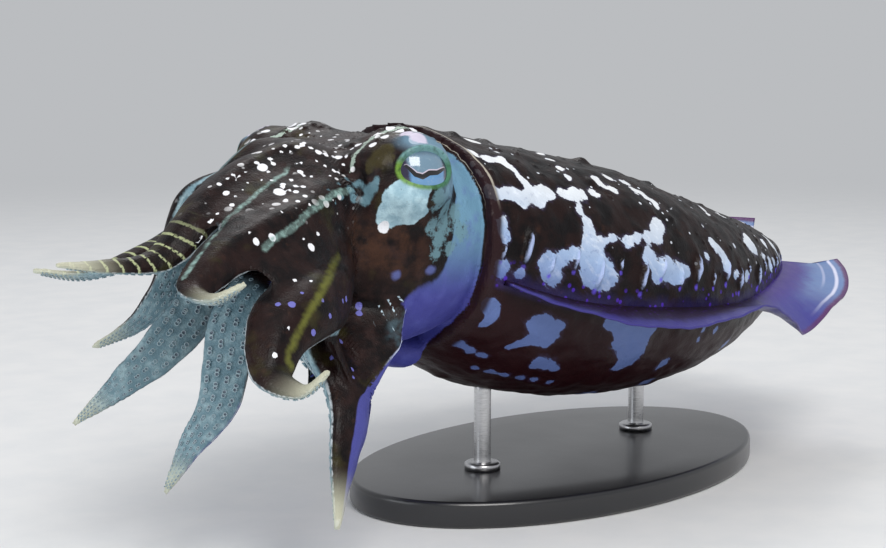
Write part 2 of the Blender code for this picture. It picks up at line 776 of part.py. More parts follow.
def fin_point(share, v, side):
    """A point of the fin's middle sheet: share runs along the root, v from the root to the edge."""
    station = FIN_FROM + (FIN_TO - FIN_FROM) * share
    angle = fin_line(station, side)
    root = mantle_point(station, angle)
    normal = mantle_normal(station, angle)
    out = unit(normal * (1, 1, 0))
    width = smooth(FIN_STATIONS, FIN_WIDTHS, share)
    droop = np.radians(smooth(FIN_STATIONS, FIN_DROOPS[side], share))
    curl = np.radians(smooth(FIN_STATIONS, FIN_CURLS[side], share))
    sweep = np.radians(smooth(FIN_STATIONS, FIN_SWEEPS[side], share))
    out = unit(out * math.cos(sweep) + np.array((1, 0, 0)) * math.sin(sweep))
    steps = np.linspace(0, 1, FIN_STEPS + 1)
    ease = np.clip(steps / 0.3, 0, 1)
    at_root = math.asin(normal[2])
    lean = at_root + (droop - at_root) * ease**2 * (3 - 2 * ease) + curl * steps**2
    moves = out * np.cos(lean)[:, None] + np.array((0, 0, 1)) * np.sin(lean)[:, None]
    path = np.vstack([np.zeros(3), np.cumsum((moves[:-1] + moves[1:]) / 2, axis=0)]) / FIN_STEPS
    reach = np.array([np.interp(v, steps, path[:, k]) for k in range(3)])
    return root + normal * GAP * 1.5 + width * reach


def build_fin(name, side, home):
    """A fin along the whole side: a thin sheet, thickest at its root, split alike on both faces."""
    shares = np.linspace(0, 1, FIN_COLUMNS)
    across = np.linspace(0, 1, FIN_ROWS) ** 0.9
    sheet = np.array([[fin_point(u, v, side) for v in across] for u in shares])
    along_u = np.gradient(sheet, axis=0)
    along_v = np.gradient(sheet, axis=1)
    normal = unit(np.cross(along_u, along_v))
    thickness = FIN_ROOT_THICKNESS + (FIN_EDGE_THICKNESS - FIN_ROOT_THICKNESS) * across**0.7
    half = thickness[None, :, None] / 2
    bm = bmesh.new()
    faces = [
        [[bm.verts.new(point) for point in row] for row in sheet + normal * half * way] for way in (1, -1)
    ]
    for sheet_verts in faces:
        for i in range(FIN_COLUMNS - 1):
            for j in range(FIN_ROWS - 1):
                a, b = sheet_verts[i][j], sheet_verts[i + 1][j]
                c, d = sheet_verts[i + 1][j + 1], sheet_verts[i][j + 1]
                bm.faces.new((a, b, c))
                bm.faces.new((a, c, d))
    border = [(i, 0) for i in range(FIN_COLUMNS)]
    border += [(FIN_COLUMNS - 1, j) for j in range(1, FIN_ROWS)]
    border += [(i, FIN_ROWS - 1) for i in range(FIN_COLUMNS - 2, -1, -1)]
    border += [(0, j) for j in range(FIN_ROWS - 2, 0, -1)]
    top, bottom = faces
    for (i, j), (k, m) in zip(border, border[1:] + border[:1]):
        bm.faces.new((top[i][j], top[k][m], bottom[k][m]))
        bm.faces.new((top[i][j], bottom[k][m], bottom[i][j]))
    bmesh.ops.recalc_face_normals(bm, faces=bm.faces)
    mesh = bpy.data.meshes.new(name)
    bm.to_mesh(mesh)
    bm.free()
    return keep(mesh, name, home, material(name + "_skin", (0.42, 0.36, 0.72), 0.35))


def build_stand(home, helpers, pose, mantle):
    """A rounded plate and two rods, whose tops are cut to lie just under the belly."""
    bpy.ops.mesh.primitive_cylinder_add(vertices=BASE_AROUND, radius=0.5, depth=BASE_THICKNESS)
    base = bpy.context.object
    base.name = "stand_base"
    base.scale = (BASE_LENGTH, BASE_WIDTH, 1)
    base.location = (0, 0, BASE_THICKNESS / 2)
    bpy.ops.object.transform_apply(location=False, rotation=False, scale=True)
    edge = base.modifiers.new("edge", "BEVEL")
    edge.width = BASE_EDGE_ROUND
    edge.segments = 1
    edge.limit_method = "ANGLE"
    base.data.materials.append(material("stand_plate", (0.03, 0.03, 0.035), 0.45))
    steel = material("stand_steel", (0.62, 0.62, 0.63), 0.28, 1.0)
    pieces = [base]
    for label, along in ROD_PLACES.items():
        foot = pose.matrix_world @ Vector((along, 0, 0))
        belly = pose.matrix_world @ Vector(mantle_point(along / MANTLE_LENGTH, 3 * np.pi / 2))
        bottom = BASE_THICKNESS + GAP
        top = belly.z + ROD_RADIUS * 2
        bpy.ops.mesh.primitive_cylinder_add(
            vertices=ROD_AROUND,
            radius=ROD_RADIUS,
            depth=top - bottom,
            location=(foot.x, 0, (top + bottom) / 2),
        )
        rod = bpy.context.object
        rod.name = f"stand_rod_{label}"
        rod.data.materials.append(steel)
        put_helper(grown(mantle, GAP), helpers, pose)
        boolean(rod, "DIFFERENCE", helpers)
        pieces.append(rod)
    for piece in pieces:
        for old in piece.users_collection:
            old.objects.unlink(piece)
        home.objects.link(piece)


def main():
    for old in list(bpy.data.objects):
        bpy.data.objects.remove(old)
    home = bpy.data.collections.new("broadclub_cuttlefish")
    helpers = bpy.data.collections.new("helpers")
    for collection in (home, helpers):
        bpy.context.scene.collection.children.link(collection)
    helpers.hide_render = True
    pose = bpy.data.objects.new("cuttlefish_pose", None)
    home.objects.link(pose)
    pose.location = MANTLE_OPENING_AT
    pose.rotation_euler = (0, TAIL_DOWN, 0)
    bpy.context.view_layer.update()

    mantle = build_mantle(home, helpers)
    head = build_head(home, helpers)
    iris = material("eye_iris", (0.45, 0.62, 0.78), 0.08)
    for label, side in (("left", -1), ("right", 1)):
        keep(eye_ball(side, EYE_RADIUS), f"eye_{label}", home, iris)
        build_fin(f"fin_{label}", side, home)
    build_funnel(home, helpers, head, mantle)
    build_mouth(home)
    arm_skin = material("arm_skin", (0.22, 0.14, 0.10), 0.40)
    for name, arm in ARMS.items():
        build_arm(name, arm, home, helpers, arm_skin)
    for obj in home.objects:
        if obj.type == "MESH":
            obj.parent = pose
    build_stand(home, helpers, pose, mantle)
    bpy.data.collections.remove(helpers)


main()
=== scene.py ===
"""The looks of a life-size broadclub cuttlefish museum model, held on a flat oval base with two rods."""

import math

import bmesh
import bpy
import numpy as np
from mathutils import Matrix, Vector


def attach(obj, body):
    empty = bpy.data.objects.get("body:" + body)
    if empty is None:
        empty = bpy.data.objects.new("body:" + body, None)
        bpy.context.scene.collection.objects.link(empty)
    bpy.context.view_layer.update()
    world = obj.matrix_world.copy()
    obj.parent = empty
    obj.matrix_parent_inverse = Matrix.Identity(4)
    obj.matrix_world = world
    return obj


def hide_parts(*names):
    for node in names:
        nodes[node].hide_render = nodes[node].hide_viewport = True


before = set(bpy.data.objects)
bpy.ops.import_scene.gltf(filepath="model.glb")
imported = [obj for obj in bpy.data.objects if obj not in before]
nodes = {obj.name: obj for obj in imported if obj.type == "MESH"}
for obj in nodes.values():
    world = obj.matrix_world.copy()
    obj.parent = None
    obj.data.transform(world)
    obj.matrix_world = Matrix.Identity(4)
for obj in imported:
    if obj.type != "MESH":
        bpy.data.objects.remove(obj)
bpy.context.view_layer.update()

# The camera stands off the animal's front left, a little above its eye, as the photographer did. It is a
# real lens of about 69 mm on a 36 mm wide frame, aimed past the mantle's opening.
TAIL_DOWN = math.radians(7)
MANTLE_OPENING_AT = Vector((-0.112, 0.0, 0.127))
CAMERA_AZIMUTH = math.radians(45)
CAMERA_ELEVATION = math.radians(6)
CAMERA_DISTANCE = 0.75
CAMERA_FOCAL = 1700.0
IMAGE_WIDTH = 886
OPENING_LEFT_OF_MIDDLE = 43
OPENING_ABOVE_MIDDLE = 39

towards = Vector(
    (
        math.sin(CAMERA_AZIMUTH) * math.cos(CAMERA_ELEVATION),
        math.cos(CAMERA_AZIMUTH) * math.cos(CAMERA_ELEVATION),
        -math.sin(CAMERA_ELEVATION),
    )
)
rightwards = towards.cross((0, 0, 1)).normalized()
upwards = rightwards.cross(towards)
per_pixel = CAMERA_DISTANCE / CAMERA_FOCAL
aim = (rightwards * OPENING_LEFT_OF_MIDDLE - upwards * OPENING_ABOVE_MIDDLE) * per_pixel
eye_point = -towards * CAMERA_DISTANCE
camera = bpy.data.objects.new("camera", bpy.data.cameras.new("camera"))
bpy.context.scene.collection.objects.link(camera)
camera.location = MANTLE_OPENING_AT + eye_point
camera.rotation_euler = (aim - eye_point).to_track_quat("-Z", "Y").to_euler()
camera.data.sensor_width = 36
camera.data.lens = 36 * CAMERA_FOCAL / IMAGE_WIDTH
camera.data.clip_start = 0.01
bpy.context.scene.camera = camera


# The living animal is one soft skin over mantle, head, funnel and eight arms. Each is lofted from its own
# sizes in the animal's frame, where +X is the tail, +Y its right and +Z its back, with the middle of the
# mantle's opening at the origin. They are then fused into one skin and relaxed.
MANTLE_LENGTH = 0.300
MANTLE_STATIONS = (0.0, 0.15, 0.35, 0.60, 0.80, 1.0)
MANTLE_HALF_WIDTHS = (0.183, 0.215, 0.235, 0.215, 0.160, 0.100)
MANTLE_TOPS = (0.163, 0.185, 0.195, 0.165, 0.125, 0.090)
MANTLE_BOTTOMS = (0.167, 0.185, 0.185, 0.155, 0.120, 0.080)
MANTLE_CENTRES = (0.0, -0.035, -0.055, -0.058, -0.035, 0.0)
FULLNESS = 0.92
TAIL_BLUNTNESS = 6
COLLAR_TONGUE = 0.009
COLLAR_TONGUE_SPREAD = math.radians(38)
COLLAR_NOTCH = 0.006
COLLAR_NOTCH_SPREAD = math.radians(40)

HEAD_LENGTH = 0.062
NECK_SHARE = 0.9
HEAD_STATIONS = (0.0, 0.20, 0.50, 0.80, 1.0)
HEAD_HALF_WIDTHS = (0.0495, 0.0500, 0.0500, 0.0455, 0.0385)
HEAD_TOPS = (0.0440, 0.0430, 0.0400, 0.0365, 0.0335)
HEAD_BOTTOMS = (0.0450, 0.0520, 0.0560, 0.0480, 0.0370)
BROW_CENTRE = (-0.0350, 0.0300)
BROW_SPREAD = (0.0180, 0.0140)
BROW_HEIGHT = 0.0120
FUNNEL_GROOVE = 0.30
FUNNEL_GROOVE_SPREAD = math.radians(28)
EYE_CENTRE = (-0.0400, 0.0430, 0.0260)
EYE_RADIUS = 0.0150
EYE_COVER = 0.0020
EYE_BULGE_SPREAD = 0.85
EYE_BULGE_BLEND = 0.008

FUNNEL_FROM = 0.0035
FUNNEL_LENGTH = 0.039
FUNNEL_DROP = 0.0500
FUNNEL_DIP = -0.002
FUNNEL_HALF_WIDTHS = (0.0175, 0.0085)
FUNNEL_HALF_HEIGHTS = (0.0088, 0.0068)
FUNNEL_WALL = 0.0020
FUNNEL_BORE_DEPTH = 0.012

CROWN_HALF_WIDTH = 0.0310
CROWN_HALF_HEIGHT = 0.0280
ARM_ROOT_SIZES = (0.0104, 0.0085, 0.0055)
ARM_FLATNESS = (1.0, 0.55, 0.30)
ARM_TIP_RADIUS = 0.0011
ARM_LEAD = 0.007
ARM_LEAD_SPREAD = 1.06
ARM_STATIONS = (0.0, 0.25, 0.55, 0.85, 1.0)
ARM_TAPER = (1.0, 0.85, 0.40)
ARM_TWIST_STATIONS = (0.0, 0.15, 0.40, 1.0)
ARM_TWIST_SHARES = (0.0, 0.4, 1.0, 1.0)
ARM_STEPS = 121
KEEL_SHARE = 0.35
ORAL_FLATNESS = 0.6
SKIN_VOXEL = 0.00125
# How many sides and rings each loft has, and how deep a root is sunk in what carries it.
BODY_SIDES = 180
MANTLE_RINGS = 150
HEAD_RINGS = 70
ARM_SIDES = 40
ARM_RINGS = 160
FUNNEL_SIDES = 48
FUNNEL_RINGS = 30
ROOT_SINK = 0.004
# Each arm's place in degrees left of the top, its broadest half width, its twist, and its route.
ARMS = {
    "arm_left_1": (21, 0.0105, 0, (
        (-0.088, -0.009, 0.023), (-0.114, -0.013, 0.01), (-0.131, -0.018, -0.003),
        (-0.146, -0.02, -0.015), (-0.167, -0.02, -0.018), (-0.189, -0.018, -0.018))),
    "arm_left_2": (65, 0.0125, 35, (
        (-0.09, -0.036, 0.006), (-0.118, -0.042, -0.004), (-0.143, -0.048, -0.015),
        (-0.156, -0.055, -0.024), (-0.157, -0.069, -0.025), (-0.153, -0.079, -0.018))),
    "arm_left_3": (110, 0.0160, 60, (
        (-0.083, -0.044, -0.019), (-0.108, -0.06, -0.027), (-0.129, -0.069, -0.039),
        (-0.136, -0.078, -0.052), (-0.132, -0.09, -0.055), (-0.129, -0.099, -0.046))),
    "arm_left_4": (157, 0.0150, 75, (
        (-0.08, -0.023, -0.038), (-0.076, -0.037, -0.051), (-0.073, -0.048, -0.062),
        (-0.077, -0.056, -0.071), (-0.085, -0.063, -0.089), (-0.092, -0.071, -0.11))),
    "arm_right_1": (-21, 0.0105, 0, (
        (-0.083, 0.013, 0.019), (-0.097, 0.012, 0.005), (-0.114, 0.011, -0.009),
        (-0.135, 0.012, -0.018), (-0.154, 0.017, -0.024), (-0.172, 0.022, -0.023))),
    "arm_right_2": (-65, 0.0110, 0, (
        (-0.087, 0.034, 0.006), (-0.096, 0.032, -0.01), (-0.103, 0.03, -0.028),
        (-0.114, 0.032, -0.043), (-0.131, 0.038, -0.054))),
    "arm_right_3": (-110, 0.0110, 0, (
        (-0.08, 0.036, -0.0235), (-0.084, 0.037, -0.04), (-0.095, 0.04, -0.055),
        (-0.111, 0.045, -0.071), (-0.13, 0.049, -0.087))),
    "arm_right_4": (-157, 0.0110, 0, (
        (-0.081, 0.011, -0.039), (-0.086, 0.008, -0.057), (-0.091, 0.005, -0.073),
        (-0.101, 0.008, -0.09), (-0.111, 0.01, -0.11))),
}


def smooth(stations, values, at):
    """Reads values between stations off one smooth curve through them."""
    stations = np.asarray(stations, float)
    values = np.asarray(values, float)
    at = np.clip(np.asarray(at, float), stations[0], stations[-1])
    slopes = np.gradient(values, stations, axis=0)
    left = np.clip(np.searchsorted(stations, at, side="right") - 1, 0, len(stations) - 2)
    width = stations[left + 1] - stations[left]
    t = (at - stations[left]) / width
    if values.ndim > 1:
        width = width[..., None]
        t = t[..., None]
    start = (2 * t**3 - 3 * t**2 + 1) * values[left] + (t**3 - 2 * t**2 + t) * width * slopes[left]
    end = (3 * t**2 - 2 * t**3) * values[left + 1] + (t**3 - t**2) * width * slopes[left + 1]
    return start + end


def unit(vectors):
    return vectors / np.maximum(np.linalg.norm(vectors, axis=-1, keepdims=True), 1e-12)


def angle_between(a, b):
    return np.abs((a - b + np.pi) % (2 * np.pi) - np.pi)


def turns(count):
    return np.arange(count) * 2 * np.pi / count


def mantle_size(station, shares):
    closing = np.sqrt(np.clip(1 - station**TAIL_BLUNTNESS, 0, 1))
    return smooth(MANTLE_STATIONS, shares, station) * closing * MANTLE_LENGTH


def oval(half_width, top, bottom, angle):
    across = np.sign(np.cos(angle)) * np.abs(np.cos(angle)) ** FULLNESS
    up = np.sign(np.sin(angle)) * np.abs(np.sin(angle)) ** FULLNESS
    return half_width * across, np.where(np.sin(angle) > 0, top, bottom) * up


def collar_reach(angle):
    above = angle_between(angle, np.pi / 2) / COLLAR_TONGUE_SPREAD
    below = angle_between(angle, 3 * np.pi / 2) / COLLAR_NOTCH_SPREAD
    return COLLAR_NOTCH * np.exp(-(below**2)) - COLLAR_TONGUE * np.exp(-(above**2))


def mantle_point(station, angle):
    """A point of the mantle's skin. Angle 0 is its right side and a quarter turn its back."""
    across, up = oval(
        mantle_size(station, MANTLE_HALF_WIDTHS),
        mantle_size(station, MANTLE_TOPS),
        mantle_size(station, MANTLE_BOTTOMS),
        angle,
    )
    along = station * MANTLE_LENGTH + collar_reach(angle) * (1 - station) ** 6
    centre = smooth(MANTLE_STATIONS, MANTLE_CENTRES, station) * MANTLE_LENGTH
    return np.stack(np.broadcast_arrays(along, across, up + centre), axis=-1)


def mantle_normal(station, angle):
    step = 1e-3
    along = mantle_point(station + step, angle) - mantle_point(station - step, angle)
    around = mantle_point(station, angle + step) - mantle_point(station, angle - step)
    return unit(np.cross(around, along))


def opening_point(share, angle):
    point = mantle_point(0.0, angle)
    return np.stack([point[..., 0] * share**2, point[..., 1] * share, point[..., 2] * share], axis=-1)


def funnel_groove(station, angle):
    below = angle_between(angle, 3 * np.pi / 2) / FUNNEL_GROOVE_SPREAD
    return 1 - FUNNEL_GROOVE * np.exp(-(below**2)) * (1 - station**3)


def swell_over_eye(point, eye):
    """Moves skin out from the head's axis to lie over the eyeball and run smoothly down from it."""
    reach = np.linalg.norm(point[..., 1:], axis=-1)
    ray = point[..., 1:] / np.maximum(reach, 1e-6)[..., None]
    over = ray @ eye[1:]
    off_ray = eye[1] ** 2 + eye[2] ** 2 - over**2 + (point[..., 0] - eye[0]) ** 2
    cover = EYE_RADIUS + EYE_COVER
    bulge = over + cover - off_ray / (2 * cover * EYE_BULGE_SPREAD)
    share = np.clip(0.5 + 0.5 * (bulge - reach) / EYE_BULGE_BLEND, 0, 1)
    swollen = reach + (bulge - reach) * share + EYE_BULGE_BLEND * share * (1 - share)
    return np.concatenate([point[..., :1], ray * swollen[..., None]], axis=-1)


def head_point(station, angle):
    """A point of the head's skin, from the neck (0) to the face that carries the arms (1)."""
    across, up = oval(
        smooth(HEAD_STATIONS, HEAD_HALF_WIDTHS, station),
        smooth(HEAD_STATIONS, HEAD_TOPS, station),
        smooth(HEAD_STATIONS, HEAD_BOTTOMS, station),
        angle,
    )
    hollowed = funnel_groove(station, angle)
    neck = opening_point(NECK_SHARE * hollowed, angle)[..., 0]
    along = neck * (1 - station) - HEAD_LENGTH * station
    across = across * hollowed
    up = up * hollowed
    brow = ((along - BROW_CENTRE[0]) / BROW_SPREAD[0]) ** 2
    brow = brow + ((np.abs(across) - BROW_CENTRE[1]) / BROW_SPREAD[1]) ** 2
    up = up + BROW_HEIGHT * np.exp(-brow) * np.clip(np.sin(angle) * 3, 0, 1)
    point = np.stack(np.broadcast_arrays(along, across, up), axis=-1)
    for side in (-1, 1):
        point = swell_over_eye(point, np.array(EYE_CENTRE) * (1, side, 1))
    return point


def arm_lines(degrees, broad, twist, beyond):
    """One arm's middle line, its directions and its section sizes in one table, root to tip."""
    turn = math.radians(degrees)
    root = np.array((-HEAD_LENGTH, -CROWN_HALF_WIDTH * math.sin(turn), CROWN_HALF_HEIGHT * math.cos(turn)))
    lead = root * (1, ARM_LEAD_SPREAD, ARM_LEAD_SPREAD) - (ARM_LEAD, 0, 0)
    route = np.array([root, lead, *beyond])
    lengths = np.r_[0, np.cumsum(np.linalg.norm(np.diff(route, axis=0), axis=1))]
    share = np.linspace(0, 1, ARM_STEPS)
    line = smooth(lengths / lengths[-1], route, share)
    ahead = unit(np.gradient(line, axis=0))
    ahead[0] = (-1, 0, 0)
    oral = np.zeros_like(line)
    oral[0] = unit(-root * (0, 1, 1))
    for i in range(1, ARM_STEPS):
        oral[i] = unit(oral[i - 1] - ahead[i] * (oral[i - 1] @ ahead[i]))
    twisted = math.radians(twist) * smooth(ARM_TWIST_STATIONS, ARM_TWIST_SHARES, share)
    side = np.cross(ahead, oral)
    oral = oral * np.cos(twisted)[:, None] + side * np.sin(twisted)[:, None]
    side = np.cross(ahead, oral)
    sizes = []
    for at_root, flatness in zip(ARM_ROOT_SIZES, ARM_FLATNESS):
        beyond_root = broad * flatness * np.array(ARM_TAPER)
        sizes.append(smooth(ARM_STATIONS, (at_root, *beyond_root, ARM_TIP_RADIUS), share))
    return share, np.hstack([line, ahead, oral, side, np.transpose(sizes)]), lengths[-1]


def arm_at(lines, at):
    """The arm's middle, its forward, oral and sideways directions and its sizes at a share of its length."""
    row = smooth(lines[0], lines[1], at)
    return row[0:3], unit(row[3:6]), unit(row[6:9]), unit(row[9:12]), row[12:]


def arm_section(lines, at, count):
    """The ring of the arm's skin at a share of its length: keeled outside, flat on the oral side."""
    middle, _, oral, side, (half_width, back, face) = arm_at(lines, at)
    turn = turns(count)
    keel = 1 + KEEL_SHARE * np.maximum(np.sin(turn), 0) ** 8 * math.sin(math.pi * at) ** 0.5
    up = np.where(
        np.sin(turn) > 0,
        back * np.abs(np.sin(turn)) * keel,
        -face * np.abs(np.sin(turn)) ** ORAL_FLATNESS,
    )
    return middle + side * (half_width * np.cos(turn))[:, None] - oral * up[:, None]


def funnel_ring(share, inset, inward):
    around = turns(FUNNEL_SIDES)
    across = np.cos(around) * (np.interp(share, (0, 1), FUNNEL_HALF_WIDTHS) - inset)
    up = np.sin(around) * (np.interp(share, (0, 1), FUNNEL_HALF_HEIGHTS) - inset)
    middle = np.array((FUNNEL_FROM - FUNNEL_LENGTH * share + inward, 0, -FUNNEL_DROP - FUNNEL_DIP * share))
    return middle + np.stack([0 * around, across, up], axis=-1)


def sheet_faces(rows, columns, closed):
    """The quads of a grid, row by row, joined round where it is closed."""
    index = np.arange(rows * columns).reshape(rows, columns)
    ahead = np.roll(index, -1, axis=1) if closed else index[:, 1:]
    index = index if closed else index[:, :-1]
    return np.stack([index[:-1], ahead[:-1], ahead[1:], index[1:]], axis=-1).reshape(-1, 4)


def tube(rings):
    """Points and faces of a closed loft through rings of like count, with a fan at each end."""
    rings = np.asarray(rings)
    rows, columns = rings.shape[:2]
    points = np.vstack([rings.reshape(-1, 3), rings[0].mean(0), rings[-1].mean(0)])
    faces = [tuple(quad) for quad in sheet_faces(rows, columns, True)]
    first, last = rows * columns, rows * columns + 1
    for i in range(columns):
        j = (i + 1) % columns
        faces.append((j, i, first))
        faces.append((first - columns + i, first - columns + j, last))
    return points, faces


def joined(parts):
    """One list of points and faces from several."""
    points = []
    faces = []
    count = 0
    for part_points, part_faces in parts:
        points.append(part_points)
        faces.extend(tuple(corner + count for corner in face) for face in part_faces)
        count += len(part_points)
    return np.vstack(points), faces


# The animal is tipped and lifted over its stand.
OVER_STAND = Matrix.Translation(MANTLE_OPENING_AT) @ Matrix.Rotation(TAIL_DOWN, 4, "Y")


def piece(name, points, faces, place=OVER_STAND):
    """A new object, made of points in the animal's own frame unless another place is given."""
    mesh = bpy.data.meshes.new(name)
    mesh.from_pydata([tuple(p) for p in points], [], [tuple(int(i) for i in f) for f in faces])
    mesh.transform(place)
    mesh.shade_smooth()
    obj = bpy.data.objects.new(name, mesh)
    bpy.context.scene.collection.objects.link(obj)
    return obj


def read(mesh, what="co"):
    """Where the mesh's vertices are, or their normals."""
    made = np.empty(len(mesh.vertices) * 3, np.float32)
    mesh.vertices.foreach_get(what, made)
    return made.reshape(-1, 3).astype(float)


def set_points(mesh, points):
    mesh.vertices.foreach_set("co", np.asarray(points, np.float32).ravel())
    mesh.update()


def mark(mesh, fields):
    """Writes named values on the mesh's vertices, which its finish reads."""
    for label, values in fields.items():
        attribute = mesh.attributes.new(label, "FLOAT", "POINT")
        attribute.data.foreach_set("value", np.asarray(values, np.float32))


def neighbours_of(mesh):
    """The two ends of every edge, and how many edges meet at each vertex."""
    ends = np.empty(len(mesh.edges) * 2, np.int32)
    mesh.edges.foreach_get("vertices", ends)
    a, b = ends.reshape(-1, 2).T
    return a, b, np.bincount(ends, minlength=len(mesh.vertices))


def evened(values, ends):
    """Each vertex's mean over its neighbours."""
    a, b, count = ends
    values = values.reshape(len(values), -1)
    total = np.zeros_like(values)
    for k in range(values.shape[1]):
        total[:, k] = np.bincount(a, values[b, k], len(values)) + np.bincount(b, values[a, k], len(values))
    return total / count[:, None]


def relax(points, ends, rounds, strength):
    """Draws each vertex towards the middle of its neighbours, then back out, so that volume is kept."""
    for _ in range(rounds):
        points = points + (evened(points, ends) - points) * strength
        points = points - (evened(points, ends) - points) * strength * 0.95
    return points


arms = {name: arm_lines(*sizes) for name, sizes in ARMS.items()}
around = turns(BODY_SIDES)
cap = [opening_point(share, around) for share in (0.2, 0.4, 0.6, 0.8)]
stations = 1 - (1 - np.linspace(0, 1, MANTLE_RINGS)) ** 1.7
stations[-1] = 0.9985
mantle_form = tube(cap + [mantle_point(station, around) for station in stations])
neck = NECK_SHARE * funnel_groove(0.0, around)
neck_cap = [opening_point(share * neck, around) + (ROOT_SINK, 0, 0) for share in (0.2, 0.4, 0.6, 0.8, 1.0)]
head_form = tube(neck_cap + [head_point(station, around) for station in np.linspace(0, 1, HEAD_RINGS)])
funnel_form = tube(
    [funnel_ring(share, 0.0, 0.0) for share in np.linspace(0, 1, FUNNEL_RINGS)]
    + [funnel_ring(1.0, FUNNEL_WALL, 0.0), funnel_ring(1.0, FUNNEL_WALL * 1.5, FUNNEL_BORE_DEPTH)]
)
arm_forms = []
for lines in arms.values():
    rings = [arm_section(lines, at, ARM_SIDES) for at in np.linspace(0, 1, ARM_RINGS)]
    arm_forms.append(tube([rings[0] + (ROOT_SINK, 0, 0)] + rings))


# Between neighbouring arms the skin is stretched as a web, thick at the roots and thin at its hollow edge.
# Each web's reach is a share of the arms' length. The lowest arms also carry a thin swimming membrane, which
# runs from the underside of the head to the arm's keel.
WEBS = (
    ("arm_left_1", "arm_left_2", 0.58), ("arm_left_2", "arm_left_3", 0.62), ("arm_left_3", "arm_left_4", 0.56),
    ("arm_right_1", "arm_right_2", 0.30), ("arm_right_2", "arm_right_3", 0.30),
    ("arm_right_3", "arm_right_4", 0.28), ("arm_left_1", "arm_right_1", 0.20), ("arm_left_4", "arm_right_4", 0.16),
)
WEB_HOLLOW = 0.14
WEB_HALF_THICKNESS = (0.0045, 0.0011)
WEB_REST = (0.60, 0.72)
MEMBRANE_KEEL = (0.16, 0.64)
MEMBRANE_EDGE = (
    (-0.0372, -0.0413, -0.0243), (-0.0413, -0.0451, -0.0352), (-0.0461, -0.0492, -0.0429),
    (-0.0527, -0.0513, -0.0487), (-0.0608, -0.0547, -0.0561), (-0.0686, -0.0585, -0.0634),
)
MEMBRANE_HEM = 0.0020
MEMBRANE_HALF_THICKNESS = 0.0015
MEMBRANE_RIBS = 40
HIDDEN_MEMBRANE_REACH = (0.014, 0, 0.003)


def outer_skin(rows, normal):
    """How far an arm's skin stands out from its middle line in a given direction."""
    back = (rows[:, 6:9] * normal).sum(1)
    depth = np.where(back < 0, rows[:, 13], rows[:, 14])
    return np.hypot((rows[:, 9:12] * normal).sum(1) * rows[:, 12], back * depth)


def web_form(first, second, reach):
    """The sheet between two arms, laid against the outer skin of both, out to a share of their length."""
    across = np.linspace(0, 1, 16)
    hollow = 1 - WEB_HOLLOW * np.sin(np.pi * across)
    rings = []
    for at in np.linspace(0, reach, 32):
        a = smooth(first[0], first[1], at * hollow)
        b = smooth(second[0], second[1], at * hollow)
        ahead = unit(a[:, 3:6] + b[:, 3:6])
        out = unit(np.cross(b[:, 0:3] - a[:, 0:3], ahead))
        middle = (a[:, 0:3] + b[:, 0:3]) / 2
        out = out * np.sign((out * (middle * (0, 1, 1))).sum(1))[:, None]
        share = at / reach
        rest = np.interp(share, (0, 1), WEB_REST)
        start = a[:, 0:3] + out * (outer_skin(a, out) * rest)[:, None]
        end = b[:, 0:3] + out * (outer_skin(b, out) * rest)[:, None]
        middle = start + (end - start) * across[:, None]
        thick = out * np.interp(share, (0, 1), WEB_HALF_THICKNESS)
        rings.append(np.vstack([middle + thick, (middle - thick)[::-1]]))
    return tube(rings)


def membrane_form(lines, edge):
    """The sheet from an arm's keel to its outer edge, and that edge. The hidden arm's has no edge of its own."""
    share = np.linspace(0, 1, MEMBRANE_RIBS)
    at = np.interp(share, (0, 1), MEMBRANE_KEEL)
    row = smooth(lines[0], lines[1], at)
    keel = row[:, 0:3] - unit(row[:, 6:9]) * row[:, 13:14] * 0.9
    if edge is None:
        outer = keel + np.outer(np.cos(share * np.pi / 2), HIDDEN_MEMBRANE_REACH)
    else:
        outer = smooth(np.linspace(0, 1, len(edge) + 1), np.vstack([edge, keel[-1]]), share)
    outer = outer + unit(outer - keel) * MEMBRANE_HEM * (1 - share[:, None] ** 3)
    rings = []
    for inner_point, outer_point, ahead in zip(keel, outer, row[:, 3:6]):
        thick = unit(np.cross(outer_point - inner_point + (1e-5, 0, 0), ahead)) * MEMBRANE_HALF_THICKNESS
        middle = inner_point + (outer_point - inner_point) * np.linspace(0, 1, 24)[:, None]
        rings.append(np.vstack([middle + thick, (middle - thick)[::-1]]))
    return tube(rings), outer


web_forms = [web_form(arms[a], arms[b], reach) for a, b, reach in WEBS]
membrane_edges = []
for name, edge in (("arm_left_4", MEMBRANE_EDGE), ("arm_right_4", None)):
    form, outer = membrane_form(arms[name], edge)
    web_forms.append(form)
    membrane_edges.append(outer)
skin = piece("skin", *joined([mantle_form, head_form, funnel_form] + arm_forms + web_forms), Matrix())
fused = skin.modifiers.new("fused", "REMESH")
fused.mode = "VOXEL"
fused.voxel_size = SKIN_VOXEL
graph = bpy.context.evaluated_depsgraph_get()
skin_mesh = bpy.data.meshes.new_from_object(skin.evaluated_get(graph))
skin.modifiers.clear()
skin.data = skin_mesh
skin_mesh.name = "skin"
ends = neighbours_of(skin_mesh)
skin_points = relax(read(skin_mesh), ends, 4, 0.6)
set_points(skin_mesh, skin_points)
